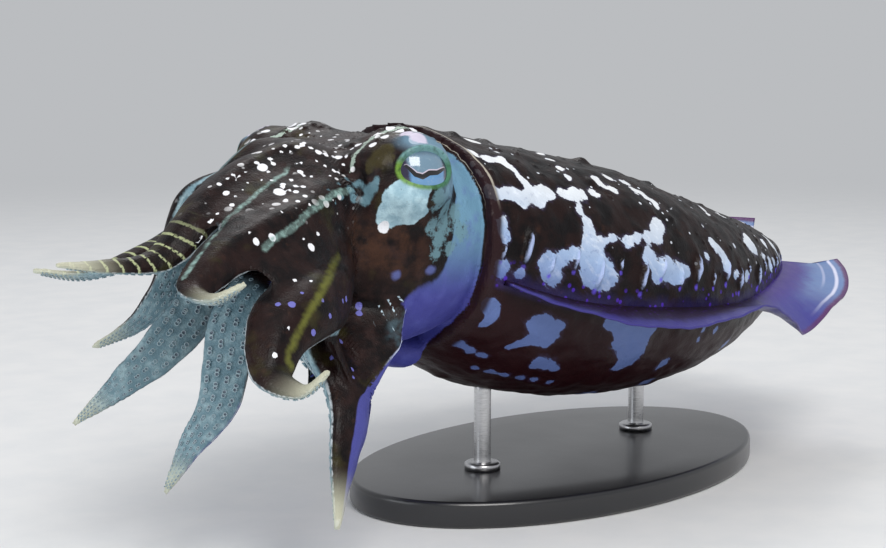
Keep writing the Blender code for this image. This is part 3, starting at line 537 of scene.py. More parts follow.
# Where the arms and webs leave the head the skin is relaxed much further and its creases are filled in, and so
# are the edges of the lowest arms' membranes.
CROWN_AT = -0.066
CROWN_SPREAD = 0.013
CREASE_DEPTH = 0.10
MEMBRANE_EVENING = 0.7
MEMBRANE_EVENING_REACH = 0.006
CROWN_ROUNDS = 40
ahead_of_eyes = np.clip((-0.030 - skin_points[:, 0]) / 0.010, 0, 1)
hollow = ((evened(skin_points, ends) - skin_points) * read(skin_mesh, "normal")).sum(1) / SKIN_VOXEL
crease = np.clip(hollow / CREASE_DEPTH, 0, 1)
for _ in range(6):
    crease = np.maximum(crease, evened(crease, ends)[:, 0] * 1.05)
crown = np.exp(-(((skin_points[:, 0] - CROWN_AT) / CROWN_SPREAD) ** 2))
softened = np.clip(np.maximum(crease, crown) * ahead_of_eyes, 0, 1)
for outer in membrane_edges:
    far = np.min([np.linalg.norm(skin_points - point, axis=1) for point in outer], axis=0)
    softened = np.maximum(softened, MEMBRANE_EVENING * np.exp(-((far / MEMBRANE_EVENING_REACH) ** 2)))
for _ in range(4):
    softened = evened(softened, ends)[:, 0]
for _ in range(CROWN_ROUNDS):
    skin_points = skin_points + (evened(skin_points, ends) - skin_points) * (0.8 * softened)[:, None]
    skin_points = skin_points - (evened(skin_points, ends) - skin_points) * (0.7 * softened)[:, None]
set_points(skin_mesh, skin_points)

# The lids are folds of the same skin, which is made finer there. Inside their outline the skin turns in
# behind the eyeball, and round it stands a soft rim, higher over the eye than under it.
EYE_LOOKS = (-0.30, 0.93, 0.22)
LID_HALF_LENGTH = 0.0122
LID_HALF_HEIGHT = 0.0074
LID_RIM = 0.0011
LID_RIM_WIDTH = 0.0022
LID_CORNER_DROP = 0.0010
LID_RIM_OUTSIDE = 0.0016
LID_EDGE = 0.0008
LID_REACH = 0.007
LID_CLEAR_OF_EYE = 0.0004
SOCKET_DEPTH = 0.0022
EYE_FINE_WITHIN = 0.021
EYE_FACE_WITHIN = 0.026


def eye_frame(side):
    """The middle of an eye, and its outward, backward and upward directions."""
    middle = np.array(EYE_CENTRE) * (1, side, 1)
    outward = unit(np.array(EYE_LOOKS) * (1, side, 1))
    back = unit(np.cross(np.cross(outward, (1.0, 0.0, 0.0)), outward))
    up = np.cross(back, outward) * side
    return middle, outward, back, up


def lid_distance(back, up):
    """How far outside the lids' edge a point lies, along and up the eye's face. Inside it is below zero."""
    up = up + LID_CORNER_DROP * (back / LID_HALF_LENGTH) ** 2
    reach = np.hypot(back / LID_HALF_LENGTH, up / LID_HALF_HEIGHT)
    return (reach - 1) * np.hypot(back, up) / np.maximum(reach, 0.05)


bm = bmesh.new()
bm.from_mesh(skin_mesh)
for side in (-1, 1):
    middle = Vector(eye_frame(side)[0])
    near = [edge for edge in bm.edges if (edge.verts[0].co - middle).length < EYE_FINE_WITHIN]
    bmesh.ops.subdivide_edges(bm, edges=near, cuts=1, use_grid_fill=True, smooth=0.5)
bm.to_mesh(skin_mesh)
bm.free()
skin_points = read(skin_mesh)
eye_away = np.full(len(skin_points), 1.0)
eye_back = np.zeros(len(skin_points))
eye_up = np.zeros(len(skin_points))
for side in (-1, 1):
    middle, outward, back, up = eye_frame(side)
    away = skin_points - middle
    far = np.linalg.norm(away, axis=1)
    facing = (away @ outward > 0) & (far < EYE_FACE_WITHIN)
    outside = lid_distance(away @ back, away @ up)
    outside = np.where(facing, outside, 1.0)
    shift = np.clip(outside / LID_EDGE, -1, 1) * 0.5 + 0.5
    rim = LID_RIM * np.exp(-(((outside - LID_RIM_OUTSIDE) / LID_RIM_WIDTH) ** 2))
    rim = rim * (1 + 0.8 * np.clip(away @ up / LID_HALF_HEIGHT, -1, 1))
    flat = EYE_RADIUS + LID_CLEAR_OF_EYE + rim
    settle = np.clip(outside / LID_REACH, 0, 1)
    level = flat + (far - flat) * settle**2 * (3 - 2 * settle)
    level = level * shift + (EYE_RADIUS - SOCKET_DEPTH) * (1 - shift)
    pulled = middle + away / far[:, None] * level[:, None]
    skin_points = np.where(facing[:, None], pulled, skin_points)
    eye_away = np.minimum(eye_away, outside)
    eye_back = np.where(facing, away @ back / LID_HALF_LENGTH, eye_back)
    eye_up = np.where(facing, away @ up / LID_HALF_HEIGHT, eye_up)
set_points(skin_mesh, skin_points)


# Where each point of the skin lies is worked out once: how far along the mantle, the head or an arm it is,
# and on which side. The markings and the small folds are placed by this.
def mantle_place(points):
    """Station, angle and rough height over the mantle's own form."""
    station = np.clip(points[:, 0] / MANTLE_LENGTH, 0.0, 0.999)
    for _ in range(3):
        centre = smooth(MANTLE_STATIONS, MANTLE_CENTRES, station) * MANTLE_LENGTH
        half_width = np.maximum(mantle_size(station, MANTLE_HALF_WIDTHS), 1e-4)
        rise = points[:, 2] - centre
        height = np.where(rise > 0, mantle_size(station, MANTLE_TOPS), mantle_size(station, MANTLE_BOTTOMS))
        across = points[:, 1] / half_width
        up = rise / np.maximum(height, 1e-4)
        across = np.sign(across) * np.abs(across) ** (1 / FULLNESS)
        up = np.sign(up) * np.abs(up) ** (1 / FULLNESS)
        angle = np.arctan2(up, across)
        station = (points[:, 0] - collar_reach(angle) * (1 - station) ** 6) / MANTLE_LENGTH
        station = np.clip(station, 0.0, 0.999)
    over = (np.hypot(across, up) - 1) * np.minimum(half_width, height)
    return station, angle, np.where(points[:, 0] < collar_reach(angle) - 0.0005, 1.0, over)


def arm_place(points, lines):
    """Share of the arm's length, angle round it (a quarter turn is its back) and height over its skin."""
    table = lines[1]
    best = np.full(len(points), 1e9)
    nearest = np.zeros(len(points), int)
    for i in range(0, ARM_STEPS, 2):
        far = ((points - table[i, 0:3]) ** 2).sum(1)
        closer = far < best
        best[closer] = far[closer]
        nearest[closer] = i
    row = table[nearest]
    away = points - row[:, 0:3]
    across = (away * row[:, 9:12]).sum(1) / row[:, 12]
    inward = (away * row[:, 6:9]).sum(1)
    up = -inward / np.where(inward > 0, row[:, 14], row[:, 13])
    ahead = (away * row[:, 3:6]).sum(1)
    at = np.clip(lines[0][nearest] + ahead / lines[2], 0, 1)
    return at, np.arctan2(up, across), (np.hypot(across, up) - 1) * row[:, 12]


def degrees_from_top(angle):
    """Degrees down from the middle of the back, more than 0 on the animal's left."""
    return (np.degrees(angle) - 90 + 180) % 360 - 180


mantle_station, mantle_angle, over_mantle = mantle_place(skin_points)
head_station = np.clip(-skin_points[:, 0] / HEAD_LENGTH, 0, 1)
head_angle = np.arctan2(skin_points[:, 2], skin_points[:, 1])
forward = skin_points[:, 0] < -HEAD_LENGTH + 0.004
over_arms = np.full((len(arms), len(skin_points)), 1.0)
arm_shares = np.zeros_like(over_arms)
arm_angles = np.zeros_like(over_arms)
for row, lines in enumerate(arms.values()):
    found = arm_place(skin_points[forward], lines)
    arm_shares[row, forward], arm_angles[row, forward], over_arms[row, forward] = found
which_arm = over_arms.argmin(0)
every = np.arange(len(skin_points))
arm_share = arm_shares[which_arm, every]
arm_angle = arm_angles[which_arm, every]
over_arm = over_arms[which_arm, every]
# How much of each point is mantle and how much is arm, from 0 to 1. The rest is head.
MANTLE_SKIN_BLEND = 0.0025
ARM_BLEND = 0.010
on_mantle = np.clip(1 - over_mantle / MANTLE_SKIN_BLEND, 0, 1) * (skin_points[:, 0] > -0.012)
on_arm = np.clip((-HEAD_LENGTH - 0.002 - skin_points[:, 0]) / ARM_BLEND, 0, 1)
on_arm = on_arm**2 * (3 - 2 * on_arm)
mantle_down = degrees_from_top(mantle_angle)
head_down = degrees_from_top(head_angle)


# A living cuttlefish shapes its skin. Long flaps stand in a row over the fins, blunt ones are scattered over
# the back and the brows, and low folds run over the rest. They are raised from the fused skin.
FIN_LINE_DROPS = (0.25, 0.19, 0.12, 0.06, 0.02, 0.0)
FLAPS = 20
FLAPS_FROM = 0.02
FLAPS_TO = 0.93
FLAP_LIFT = math.radians(15)
FLAP_HEIGHT = 0.0026
FLAP_HALF_LENGTH = 0.0060
FLAP_HALF_WIDTH = 0.0015
FLAP_DROP_RADIUS = 0.0019
# Station on the mantle, degrees from the top, height and radius in millimetres.
BACK_PAPILLAE = (
    (0.16, 3, 2.6, 4.0), (0.33, 14, 2.4, 4.2), (0.05, 16, 1.5, 3.0), (0.25, 40, 1.2, 3.0),
    (0.48, 20, 1.6, 3.2), (0.62, 26, 1.3, 2.6), (0.40, 55, 1.0, 2.4), (0.72, 10, 1.2, 2.4),
)
# Along, across, height and radius.
BROW_PAPILLAE = (
    (-0.046, 0.028, 0.0015, 0.0020), (-0.036, 0.033, 0.0016, 0.0022),
    (-0.026, 0.029, 0.0012, 0.0020), (-0.052, 0.020, 0.0012, 0.0018),
)
SMALL_PAPILLAE = 300
SMALL_PAPILLA_RADII = (0.0007, 0.0015)
FOLD_HEIGHTS = (0.0007, 0.0004)


def fin_line(station, side):
    """The angle on the mantle at which the fin's root lies."""
    return np.pi / 2 - side * (np.pi / 2 + smooth(MANTLE_STATIONS, FIN_LINE_DROPS, station))


def noise_at(points, scale, seed):
    """Smooth random values from -1 to 1 over the points."""
    table = np.random.default_rng(seed).uniform(-1, 1, 4096)
    place = points * np.asarray(scale)
    cell = np.floor(place).astype(np.int64)
    part = place - cell
    part = part * part * (3 - 2 * part)
    total = np.zeros(len(points))
    for corner in ((x, y, z) for x in (0, 1) for y in (0, 1) for z in (0, 1)):
        at = cell + corner
        pick = table[(at[:, 0] * 73856093 ^ at[:, 1] * 19349663 ^ at[:, 2] * 83492791) % 4096]
        total += pick * np.prod(np.where(corner, part, 1 - part), axis=1)
    return total


def wandering(points, scale, amount, seed):
    """The points moved about by smooth noise, which makes the marks' edges wander."""
    moved = [noise_at(points, scale, seed + k) + 0.5 * noise_at(points, scale * 2.3, seed + 10 + k) for k in range(3)]
    return points + amount * np.stack(moved, axis=-1)


skin_normals = read(skin_mesh, "normal")
raised = np.zeros(len(skin_points))
flap_mark = np.zeros(len(skin_points))
drop_mark = np.full(len(skin_points), -1.0)
for side in (-1, 1):
    for number in range(FLAPS):
        station = FLAPS_FROM + (FLAPS_TO - FLAPS_FROM) * (number / (FLAPS - 1)) ** 1.05
        room = min(1.0, float(mantle_size(np.array(station), MANTLE_TOPS)) / (0.17 * MANTLE_LENGTH))
        size = (0.85 + 0.3 * math.sin(2.4 * number + side)) * room
        angle = fin_line(station, side) + side * FLAP_LIFT * (0.85 + 0.3 * (number % 2))
        root = mantle_point(station, angle)
        out = mantle_normal(station, angle)
        up = mantle_point(station, angle + side * 0.02) - root
        up = unit(up + (0.25 * np.linalg.norm(up), 0, 0))
        along = np.cross(out, up)
        away = skin_points - root
        a = away @ along / (FLAP_HALF_WIDTH * size)
        b = away @ up / (FLAP_HALF_LENGTH * size)
        near = (np.abs(b) < 2.5) & (np.abs(a) < 4) & (np.abs(away @ out) < 0.006)
        raised[near] = np.maximum(raised[near], FLAP_HEIGHT * size * np.exp(-(a[near] ** 2) - np.abs(b[near]) ** 3))
        flap_mark[near] = np.maximum(flap_mark[near], 1 - np.hypot(a[near] * (1.2 + 0.6 * b[near]), b[near] * 0.8))
        low = np.linalg.norm(away + up * FLAP_HALF_LENGTH * size * 1.35, axis=1)
        drop_mark = np.maximum(drop_mark, 1 - low / (FLAP_DROP_RADIUS * (0.8 + 0.4 * math.sin(number * 1.9) ** 2)))
for station, degrees, height, radius in BACK_PAPILLAE:
    for side in (-1, 1):
        root = mantle_point(station + 0.02 * (side > 0), np.pi / 2 - side * math.radians(degrees))
        far = np.linalg.norm(skin_points - root, axis=1) / radius * 1000
        raised = np.maximum(raised, height / 1000 * np.exp(-(far**2)))
for along, across, height, radius in BROW_PAPILLAE:
    far = np.hypot(skin_points[:, 0] - along, np.abs(skin_points[:, 1]) - across) / radius
    raised = np.where(skin_points[:, 2] > 0.02, np.maximum(raised, height * np.exp(-(far**2))), raised)
rng = np.random.default_rng(7)
for number in range(SMALL_PAPILLAE):
    if number % 5 < 3:
        root = mantle_point(rng.uniform(0.02, 0.9), np.pi / 2 + rng.uniform(-1.4, 1.4))
    else:
        root = head_point(rng.uniform(0.1, 1.0), np.pi / 2 + rng.uniform(-1.3, 1.3))
    radius = rng.uniform(*SMALL_PAPILLA_RADII)
    near = np.abs(skin_points - root).max(1) < radius * 3
    far = np.linalg.norm(skin_points[near] - root, axis=1) / radius
    raised[near] = np.maximum(raised[near], 0.5 * radius * np.exp(-(far**2)))

folds = FOLD_HEIGHTS[0] * noise_at(skin_points, (70, 110, 110), 1)
folds = folds + FOLD_HEIGHTS[1] * noise_at(skin_points, 190, 2)
smooth_below = np.clip((np.abs(head_down) - 110) / 25, 0, 1) * (1 - on_mantle) * (1 - on_arm)
folds = folds * (1 - 0.8 * smooth_below) * (1 - 0.5 * on_arm)
clear_of_eye = np.clip((eye_away + 0.0002) / 0.004, 0, 1)
skin_points = skin_points + skin_normals * ((raised + folds) * clear_of_eye)[:, None]
set_points(skin_mesh, skin_points)


# The skin's markings are laid out on it as smooth fields, above zero inside a mark, and the finish cuts them
# off with fine noise. Pale blotches run over a near-black mantle, mirrored on the right side with small shifts.
# Each is a station, the degrees down from the middle of the back, and a radius in millimetres.
MANTLE_PALE = (
    (0.071, 19, 1.8), (0.085, 19, 1.4), (0.009, 38, 1.1), (0.019, 39, 1.2), (0.041, 40, 1.4), (0.057, 40, 1.4),
    (0.074, 39, 1.1), (0.084, 30, 1.1), (0.073, 42, 1.1), (0.081, 45, 1.2), (0.081, 50, 1.1), (0.086, 54, 1.2),
    (0.108, 54, 1.2), (0.128, 54, 1.4), (0.158, 52, 1.6), (0.176, 53, 1.4), (0.197, 52, 1.8), (0.231, 48, 1.8),
    (0.271, 39, 1.8), (0.315, 32, 1.8), (0.270, 37, 1.4), (0.290, 43, 1.4), (0.352, 33, 1.6), (0.349, 40, 1.4),
    (0.366, 42, 1.4), (0.382, 45, 1.4), (0.378, 49, 1.1), (0.245, 12, 1.2), (0.215, 24, 1.1), (0.205, 33, 1.2),
    (0.199, 40, 1.1), (0.183, 49, 1.1), (0.000, 48, 0.9), (0.000, 54, 1.1), (0.000, 58, 0.9), (0.000, 65, 1.4),
    (0.015, 65, 1.4), (0.035, 62, 1.8), (0.052, 62, 1.6), (0.059, 67, 1.2), (0.079, 61, 1.8), (0.100, 60, 1.8),
    (0.125, 56, 1.4), (0.015, 80, 1.8), (0.021, 85, 1.4), (0.176, 60, 1.2), (0.183, 65, 1.2), (0.186, 69, 1.4),
    (0.180, 76, 2.1), (0.210, 73, 1.4), (0.232, 71, 1.2), (0.259, 72, 1.8), (0.284, 69, 1.4), (0.309, 68, 1.4),
    (0.338, 62, 2.1), (0.359, 60, 1.8), (0.334, 68, 1.8), (0.304, 76, 1.8), (0.309, 80, 1.8), (0.145, 82, 1.4),
    (0.126, 85, 1.2), (0.178, 84, 3.2), (0.192, 88, 3.5), (0.218, 88, 2.8), (0.109, 92, 3.2), (0.096, 90, 2.1),
    (0.018, 98, 2.1), (0.052, 97, 1.4), (0.347, 81, 2.8), (0.383, 82, 2.5), (0.402, 80, 1.4), (0.323, 85, 1.8),
    (0.469, 72, 1.4), (0.508, 67, 1.4), (0.527, 70, 2.1), (0.533, 76, 2.1), (0.568, 78, 1.4), (0.502, 63, 1.1),
    (0.500, 54, 0.7), (0.692, 52, 1.1), (0.696, 60, 1.8), (0.740, 68, 1.8), (0.813, 72, 1.4), (0.932, 44, 0.9),
    (0.581, 32, 1.2), (0.580, 38, 1.1), (0.421, 48, 0.5), (0.440, 8, 2.6), (0.500, 14, 2.2), (0.800, 20, 2.2),
    (0.860, 48, 2.2), (0.900, 72, 1.8), (0.666, 33, 1.8), (0.679, 59, 2.6), (0.779, 75, 2.0), (0.800, 55, 1.6),
    (0.870, 64, 1.6), (0.620, 80, 1.6), (0.596, 60, 1.0),
)
BELLY_PALE = (
    (0.085, 157, 1.4), (0.110, 154, 1.8), (0.129, 151, 1.8), (0.159, 150, 1.8), (0.184, 148, 1.6),
    (0.213, 146, 1.4), (0.021, 146, 2.1), (0.044, 147, 2.1), (0.068, 146, 1.8), (0.020, 117, 2.1),
    (0.031, 120, 2.1), (0.027, 125, 1.4), (0.098, 116, 2.5), (0.117, 116, 3.2), (0.138, 116, 3.2),
    (0.115, 122, 2.8), (0.137, 123, 2.5), (0.106, 126, 1.8), (0.099, 130, 1.8), (0.107, 114, 1.8),
    (0.091, 133, 1.4), (0.151, 134, 2.5), (0.176, 135, 2.5), (0.155, 138, 1.8), (0.193, 137, 1.4),
    (0.272, 105, 3.2), (0.295, 105, 3.2), (0.260, 107, 3.2), (0.237, 106, 2.1), (0.290, 111, 3.9),
    (0.315, 112, 3.2), (0.273, 114, 2.5), (0.301, 119, 3.2), (0.324, 120, 3.2), (0.311, 129, 2.1),
    (0.323, 126, 2.8), (0.321, 107, 2.8), (0.475, 106, 1.4), (0.474, 112, 1.1), (0.334, 105, 1.8),
    (0.018, 116, 2.1), (0.031, 119, 2.1), (0.025, 127, 1.4), (0.360, 160, 3.4), (0.250, 172, 3.0),
    (0.560, 165, 3.0), (0.700, 135, 2.6), (0.600, 122, 3.0), (0.450, 146, 3.2), (0.420, 128, 3.0),
    (0.516, 106, 1.6),
)
# On the head: a pale patch under the eye, mottling behind it, and a pinkish patch over the eye.
HEAD_AQUA = (
    (0.88, 70, 2.8), (0.80, 70.5, 2.8), (0.72, 72, 2.4), (0.92, 73, 2.4), (0.875, 73.5, 2.9), (0.81, 73.5, 2.9),
    (0.745, 74, 2.5), (0.91, 78, 2.4), (0.855, 78.5, 3.2), (0.795, 78, 3.2), (0.725, 78, 2.9),
    (0.90, 82.5, 2.0), (0.845, 83, 2.2), (0.78, 82, 2.4), (0.71, 81.5, 2.0), (0.66, 79, 1.6),
)
HEAD_MOTTLE = (
    (0.60, 73, 3.4), (0.50, 70, 3.0), (0.42, 73, 3.2), (0.47, 77, 3.2), (0.56, 75, 4.0), (0.41, 82, 4.4),
    (0.45, 89, 3.6), (0.47, 94, 2.6), (0.30, 77, 4.0), (0.23, 84, 4.0), (0.52, 83, 3.0), (0.35, 92, 3.0),
)
HEAD_PINK = ((0.711, 51.7, 3.4), (0.73, 47, 2.6))
HEAD_DIM = ((0.752, 105.9, 2.0), (0.481, 101.3, 2.2))
HEAD_WHITE = (
    (0.865, 85.4, 2.0), (0.91, 43, 1.2), (0.82, 42, 1.6), (0.60, 39, 1.6), (0.39, 33, 2.1), (0.84, 30, 1.3),
    (0.70, 33, 1.7), (0.59, 31, 1.7), (0.75, 52, 1.8), (0.64, 48, 2.0),
)
# Spots on the arms' backs and the crown, as places on the skin and radii, all in millimetres.
ARM_SPOTS = (
    (-109.4, -14.9, 19.8, 1.0), (-116.8, -15.9, 15.5, 1.2), (-116.6, -20.3, 12.3, 1.6),
    (-119.1, -27.4, 7.9, 1.4), (-97.0, -17.2, 23.2, 2.4), (-92.0, -17.7, 25.1, 1.2), (-97.7, -14.2, 24.9, 1.0),
    (-125.1, -26.9, 4.5, 1.0), (-129.2, -27.6, 1.0, 1.0), (-127.9, -27.7, 2.2, 0.8), (-130.3, -26.6, -2.9, 0.8),
    (-133.2, -26.5, -7.2, 0.8), (-131.4, -26.4, -5.2, 0.8), (-107.3, -16.6, 19.3, 0.9),
    (-97.2, -30.7, 16.4, 1.2), (-91.2, -28.8, 19.4, 1.2), (-94.2, -35.6, 14.9, 1.3), (-85.2, -28.3, 21.8, 1.0),
    (-101.4, -37.8, 11.5, 1.2), (-82.7, -30.2, 21.7, 0.9), (-109.3, -45.0, 6.9, 0.9), (-93.3, -39.4, 13.6, 1.4),
    (-98.2, -41.1, 11.5, 1.2), (-96.0, -33.5, 15.5, 1.0), (-83.8, -37.8, 17.3, 0.8), (-74.9, -32.7, 22.4, 0.8),
    (-82.3, -23.3, 26.5, 0.9), (-83.7, -19.3, 28.2, 0.8), (-75.8, -24.8, 27.9, 0.8), (-73.3, -27.6, 26.2, 0.9),
    (-68.7, -30.4, 24.3, 1.2), (-63.1, -27.6, 27.4, 0.9), (-82.9, -13.7, 32.9, 1.2), (-77.9, -11.9, 35.2, 1.0),
    (-78.8, -16.8, 32.9, 1.4), (-74.3, -15.7, 34.9, 1.0), (-73.6, -18.8, 33.0, 1.1), (-71.9, -21.3, 31.6, 1.6),
    (-68.8, -22.7, 30.8, 1.4), (-64.7, -22.5, 30.3, 1.2), (-54.2, -14.9, 35.3, 1.2), (-48.3, -12.5, 37.8, 1.2),
    (-55.5, -23.5, 34.3, 1.2), (-47.8, -1.6, 37.9, 0.9), (-41.7, 10.8, 39.7, 0.9), (-42.7, 17.4, 40.7, 0.9),
    (-45.7, 19.7, 39.5, 1.0), (-59.3, -18.2, 32.6, 0.9), (-82.7, -16.7, 30.6, 0.9), (-86.0, -14.5, 30.2, 0.9),
    (-61.5, -26.8, 30.7, 1.1), (-96.3, -20.2, 21.8, 0.8), (-101.4, -22.9, 18.4, 0.8), (-98.2, -25.1, 18.8, 0.9),
    (-106.4, -21.2, 16.8, 0.8), (-110.9, -22.8, 13.9, 0.7), (-114.9, -24.2, 11.4, 0.8),
    (-104.0, -16.1, 21.0, 0.7), (-91.4, -15.1, 26.7, 1.3), (-85.0, -26.2, 22.5, 1.3), (-99.8, -32.3, 13.6, 2.6),
    (-84.1, -22.4, 25.5, 0.9), (-114.9, -22.3, 8.6, 1.8), (-112.3, -15.5, 18.1, 0.9),
    (-109.5, -17.1, 17.6, 0.9), (-95.8, -29.0, 16.7, 1.3), (-92.2, -32.5, 16.8, 1.3), (-90.0, -34.2, 17.1, 1.3),
    (-94.5, -43.9, 10.4, 0.9), (-127.4, -49.0, -1.6, 0.9), (-125.5, -51.0, -4.6, 1.8),
    (-117.3, -50.1, -2.5, 1.9), (-101.4, -49.7, -2.9, 0.9), (-98.7, -51.1, -6.0, 1.9),
    (-92.8, -47.7, -0.4, 1.1), (-70.9, -29.8, 24.5, 1.3), (-76.1, -16.6, 33.9, 1.3), (-39.1, 4.9, 39.7, 1.3),
    (-59.6, -13.5, 34.4, 0.9), (-62.6, -23.3, 30.1, 1.8), (-42.9, -6.7, 38.5, 0.9), (-80.8, -41.9, 13.0, 0.9),
    (-118.1, -58.8, -18.8, 1.2), (-114.8, -61.6, -18.1, 1.2), (-108.9, -64.2, -17.3, 0.9),
    (-128.2, -75.2, -33.9, 0.9), (-136.1, -78.2, -42.8, 1.1),
)
# Dull violet-blue spots, low on the head and on the lower arms.
LOW_SPOTS = (
    (-127.1, -67.2, -25.9, 1.4), (-123.5, -70.6, -25.7, 1.7), (-92.4, -64.3, -24.5, 1.3),
    (-88.0, -61.5, -23.9, 1.5), (-54.9, -34.0, -28.8, 1.7), (-55.3, -35.3, -31.9, 1.7),
    (-115.6, -74.9, -35.5, 1.5), (-82.5, -50.6, -39.2, 1.6), (-69.9, -40.9, -42.7, 1.6),
    (-80.8, -48.6, -48.0, 1.2), (-72.8, -52.2, -52.3, 1.2), (-74.4, -54.3, -55.2, 1.2),
    (-105.3, -71.7, -29.5, 1.1), (-108.9, -70.5, -23.8, 1.0), (-82.0, -50.6, -39.6, 1.3),
    (-116.9, -68.3, -21.6, 1.1), (-112.9, -49.2, -16.6, 1.0),
)
# Dim aqua pieces and an olive patch in front of the eye, on both sides.
FRONT_AQUA = (
    (-62.0, -43.7, 19.0, 2.2), (-62.2, -40.9, 15.7, 2.2), (-67.6, -38.7, 13.6, 2.2), (-62.9, -36.5, 19.8, 2.2),
    (-68.4, -37.8, 18.3, 1.8), (-61.6, -45.1, 23.1, 1.8), (-63.1, -39.9, 12.0, 1.8), (-73.4, -36.0, 19.9, 1.5),
    (-80.4, -39.3, 16.8, 1.2), (-66.8, -32.8, 22.1, 1.4), (-74.5, -40.1, 14.9, 1.5), (-79.5, -41.6, 13.1, 1.2),
)
FRONT_OLIVE = (
    (-61.2, -41.6, 29.3, 3.6), (-59.1, -43.7, 32.0, 4.4), (-55.8, -44.6, 34.7, 3.6), (-61.9, -40.4, 26.0, 2.4),
    (-55.7, -47.2, 31.6, 2.4),
)
# Lines drawn along the left arms and the brow: green-white keels, an olive keel, a pale brow, and the
# membrane's lashes. Each is a half width and its points, in millimetres.
GREEN_LINES = (
    (1.6, ((-86.2, -20.5, 24.0), (-91.0, -24.1, 22.0), (-100.1, -26.2, 17.5), (-108.3, -28.1, 12.8),
           (-116.2, -30.4, 8.3), (-122.4, -31.8, 4.6), (-127.8, -33.7, 0.7), (-136.4, -40.1, -3.4),
           (-145.3, -44.9, -8.8), (-151.6, -48.3, -13.8), (-157.9, -50.7, -19.2))),
    (2.0, ((-68.4, -37.9, 17.5), (-78.5, -40.3, 15.8), (-87.8, -43.3, 11.5), (-95.5, -45.4, 7.7),
           (-103.1, -47.5, 3.3), (-108.9, -48.8, 0.1), (-114.0, -49.8, -2.0), (-117.9, -50.6, -3.6),
           (-122.6, -51.8, -6.7))),
)
OLIVE_LINES = (
    (2.6, ((-82.4, -48.9, -8.0), (-95.3, -59.5, -14.0), (-104.2, -66.4, -18.5), (-110.6, -70.1, -22.7),
           (-115.6, -72.8, -26.6), (-119.3, -74.1, -30.5), (-122.7, -75.2, -34.7), (-126.5, -76.6, -38.6),
           (-129.8, -78.1, -41.9), (-130.7, -79.0, -44.7), (-128.8, -79.2, -47.2))),
)
BROW_LINES = (
    (2.8, ((-62.1, -31.4, 26.4), (-58.8, -31.7, 33.9), (-49.6, -27.4, 38.6), (-41.8, -26.1, 42.1),
           (-37.4, -29.1, 44.3), (-29.5, -28.7, 45.4))),
)
LASHES = (
    (0.6, ((-42.6, -44.0, -23.6), (-39.3, -43.8, -26.0), (-36.8, -43.4, -28.4))),
    (0.6, ((-46.1, -41.8, -25.1), (-43.3, -41.8, -28.3), (-42.4, -43.5, -31.3), (-41.0, -44.5, -34.6))),
    (0.6, ((-48.2, -39.2, -28.2), (-46.7, -41.0, -32.1), (-45.9, -43.5, -35.1), (-45.1, -46.4, -38.0))),
    (0.5, ((-51.8, -39.4, -33.9), (-51.7, -42.0, -36.9), (-50.1, -44.6, -38.6), (-47.4, -46.5, -39.2))),
    (0.4, ((-54.7, -44.4, -40.7), (-53.9, -47.3, -43.1), (-51.5, -49.7, -44.5))),
)
# Head marks are drawn this much larger than they were measured.
MARK_GROWTH = 1.45
# Where the head's violet side begins: stations, and degrees down from the top.
VIOLET_EDGE = (
    (0.0, 0.05, 0.15, 0.24, 0.30, 0.35, 0.40, 0.51, 0.60, 0.66, 0.72, 0.80, 1.0),
    (28, 32, 40, 50, 76, 99, 106, 110, 114, 122, 136, 150, 160),
)


def field_of(places, points, joined_up=False):
    """Above 0 inside round marks. Where they are joined up, marks that lie close together run into one."""
    field = np.full(len(points), 0.0 if joined_up else -1.0)
    for place, radius in places:
        near = np.abs(points - place).max(1) < 2.2 * radius
        far = np.linalg.norm(points[near] - place, axis=1) / radius
        if joined_up:
            field[near] += np.exp(-1.2 * far**2)
        else:
            field[near] = np.maximum(field[near], 1 - far)
    return np.minimum(field, 1.5) - 0.42 if joined_up else field


def both_sides(marks, place, growth=MARK_GROWTH):
    """Each mark on the left as given, and on the right a little shifted."""
    found = []
    for number, (station, degrees, radius) in enumerate(marks):
        shift = 0.025 * math.sin(number * 2.1)
        left = math.radians(90 + degrees)
        right = math.radians(90 - degrees * (1 + shift))
        found.append((place(np.array(station), left), radius / 1000 * growth))
        right_radius = radius / 1000 * growth * (1 + shift * 4)
        found.append((place(np.array(np.clip(station + shift * 0.6, 0, 1)), right), right_radius))
    return found


def line_field(lines, points):
    """The highest of 1 - distance / half width over drawn lines."""
    field = np.full(len(points), -1.0)
    for width, corners in lines:
        corners = np.array(corners) / 1000
        near = (points > corners.min(0) - 0.005).all(1) & (points < corners.max(0) + 0.005).all(1)
        far = np.full(near.sum(), 1.0)
        for start, end in zip(corners[:-1], corners[1:]):
            away = points[near] - start
            share = np.clip(away @ (end - start) / ((end - start) @ (end - start)), 0, 1)
            far = np.minimum(far, np.linalg.norm(away - share[:, None] * (end - start), axis=1))
        field[near] = np.maximum(field[near], 1 - far / width * 1000)
    return field


def on_points(spots, growth=1.0):
    return [(np.array(spot[:3]) / 1000, spot[3] / 1000 * growth) for spot in spots]


def folded(points):
    """The points brought over to the animal's left side."""
    return np.stack([points[:, 0], -np.abs(points[:, 1]), points[:, 2]], axis=-1)


def eased(values, low, high):
    share = np.clip((values - low) / (high - low), 0, 1)
    return share * share * (3 - 2 * share)


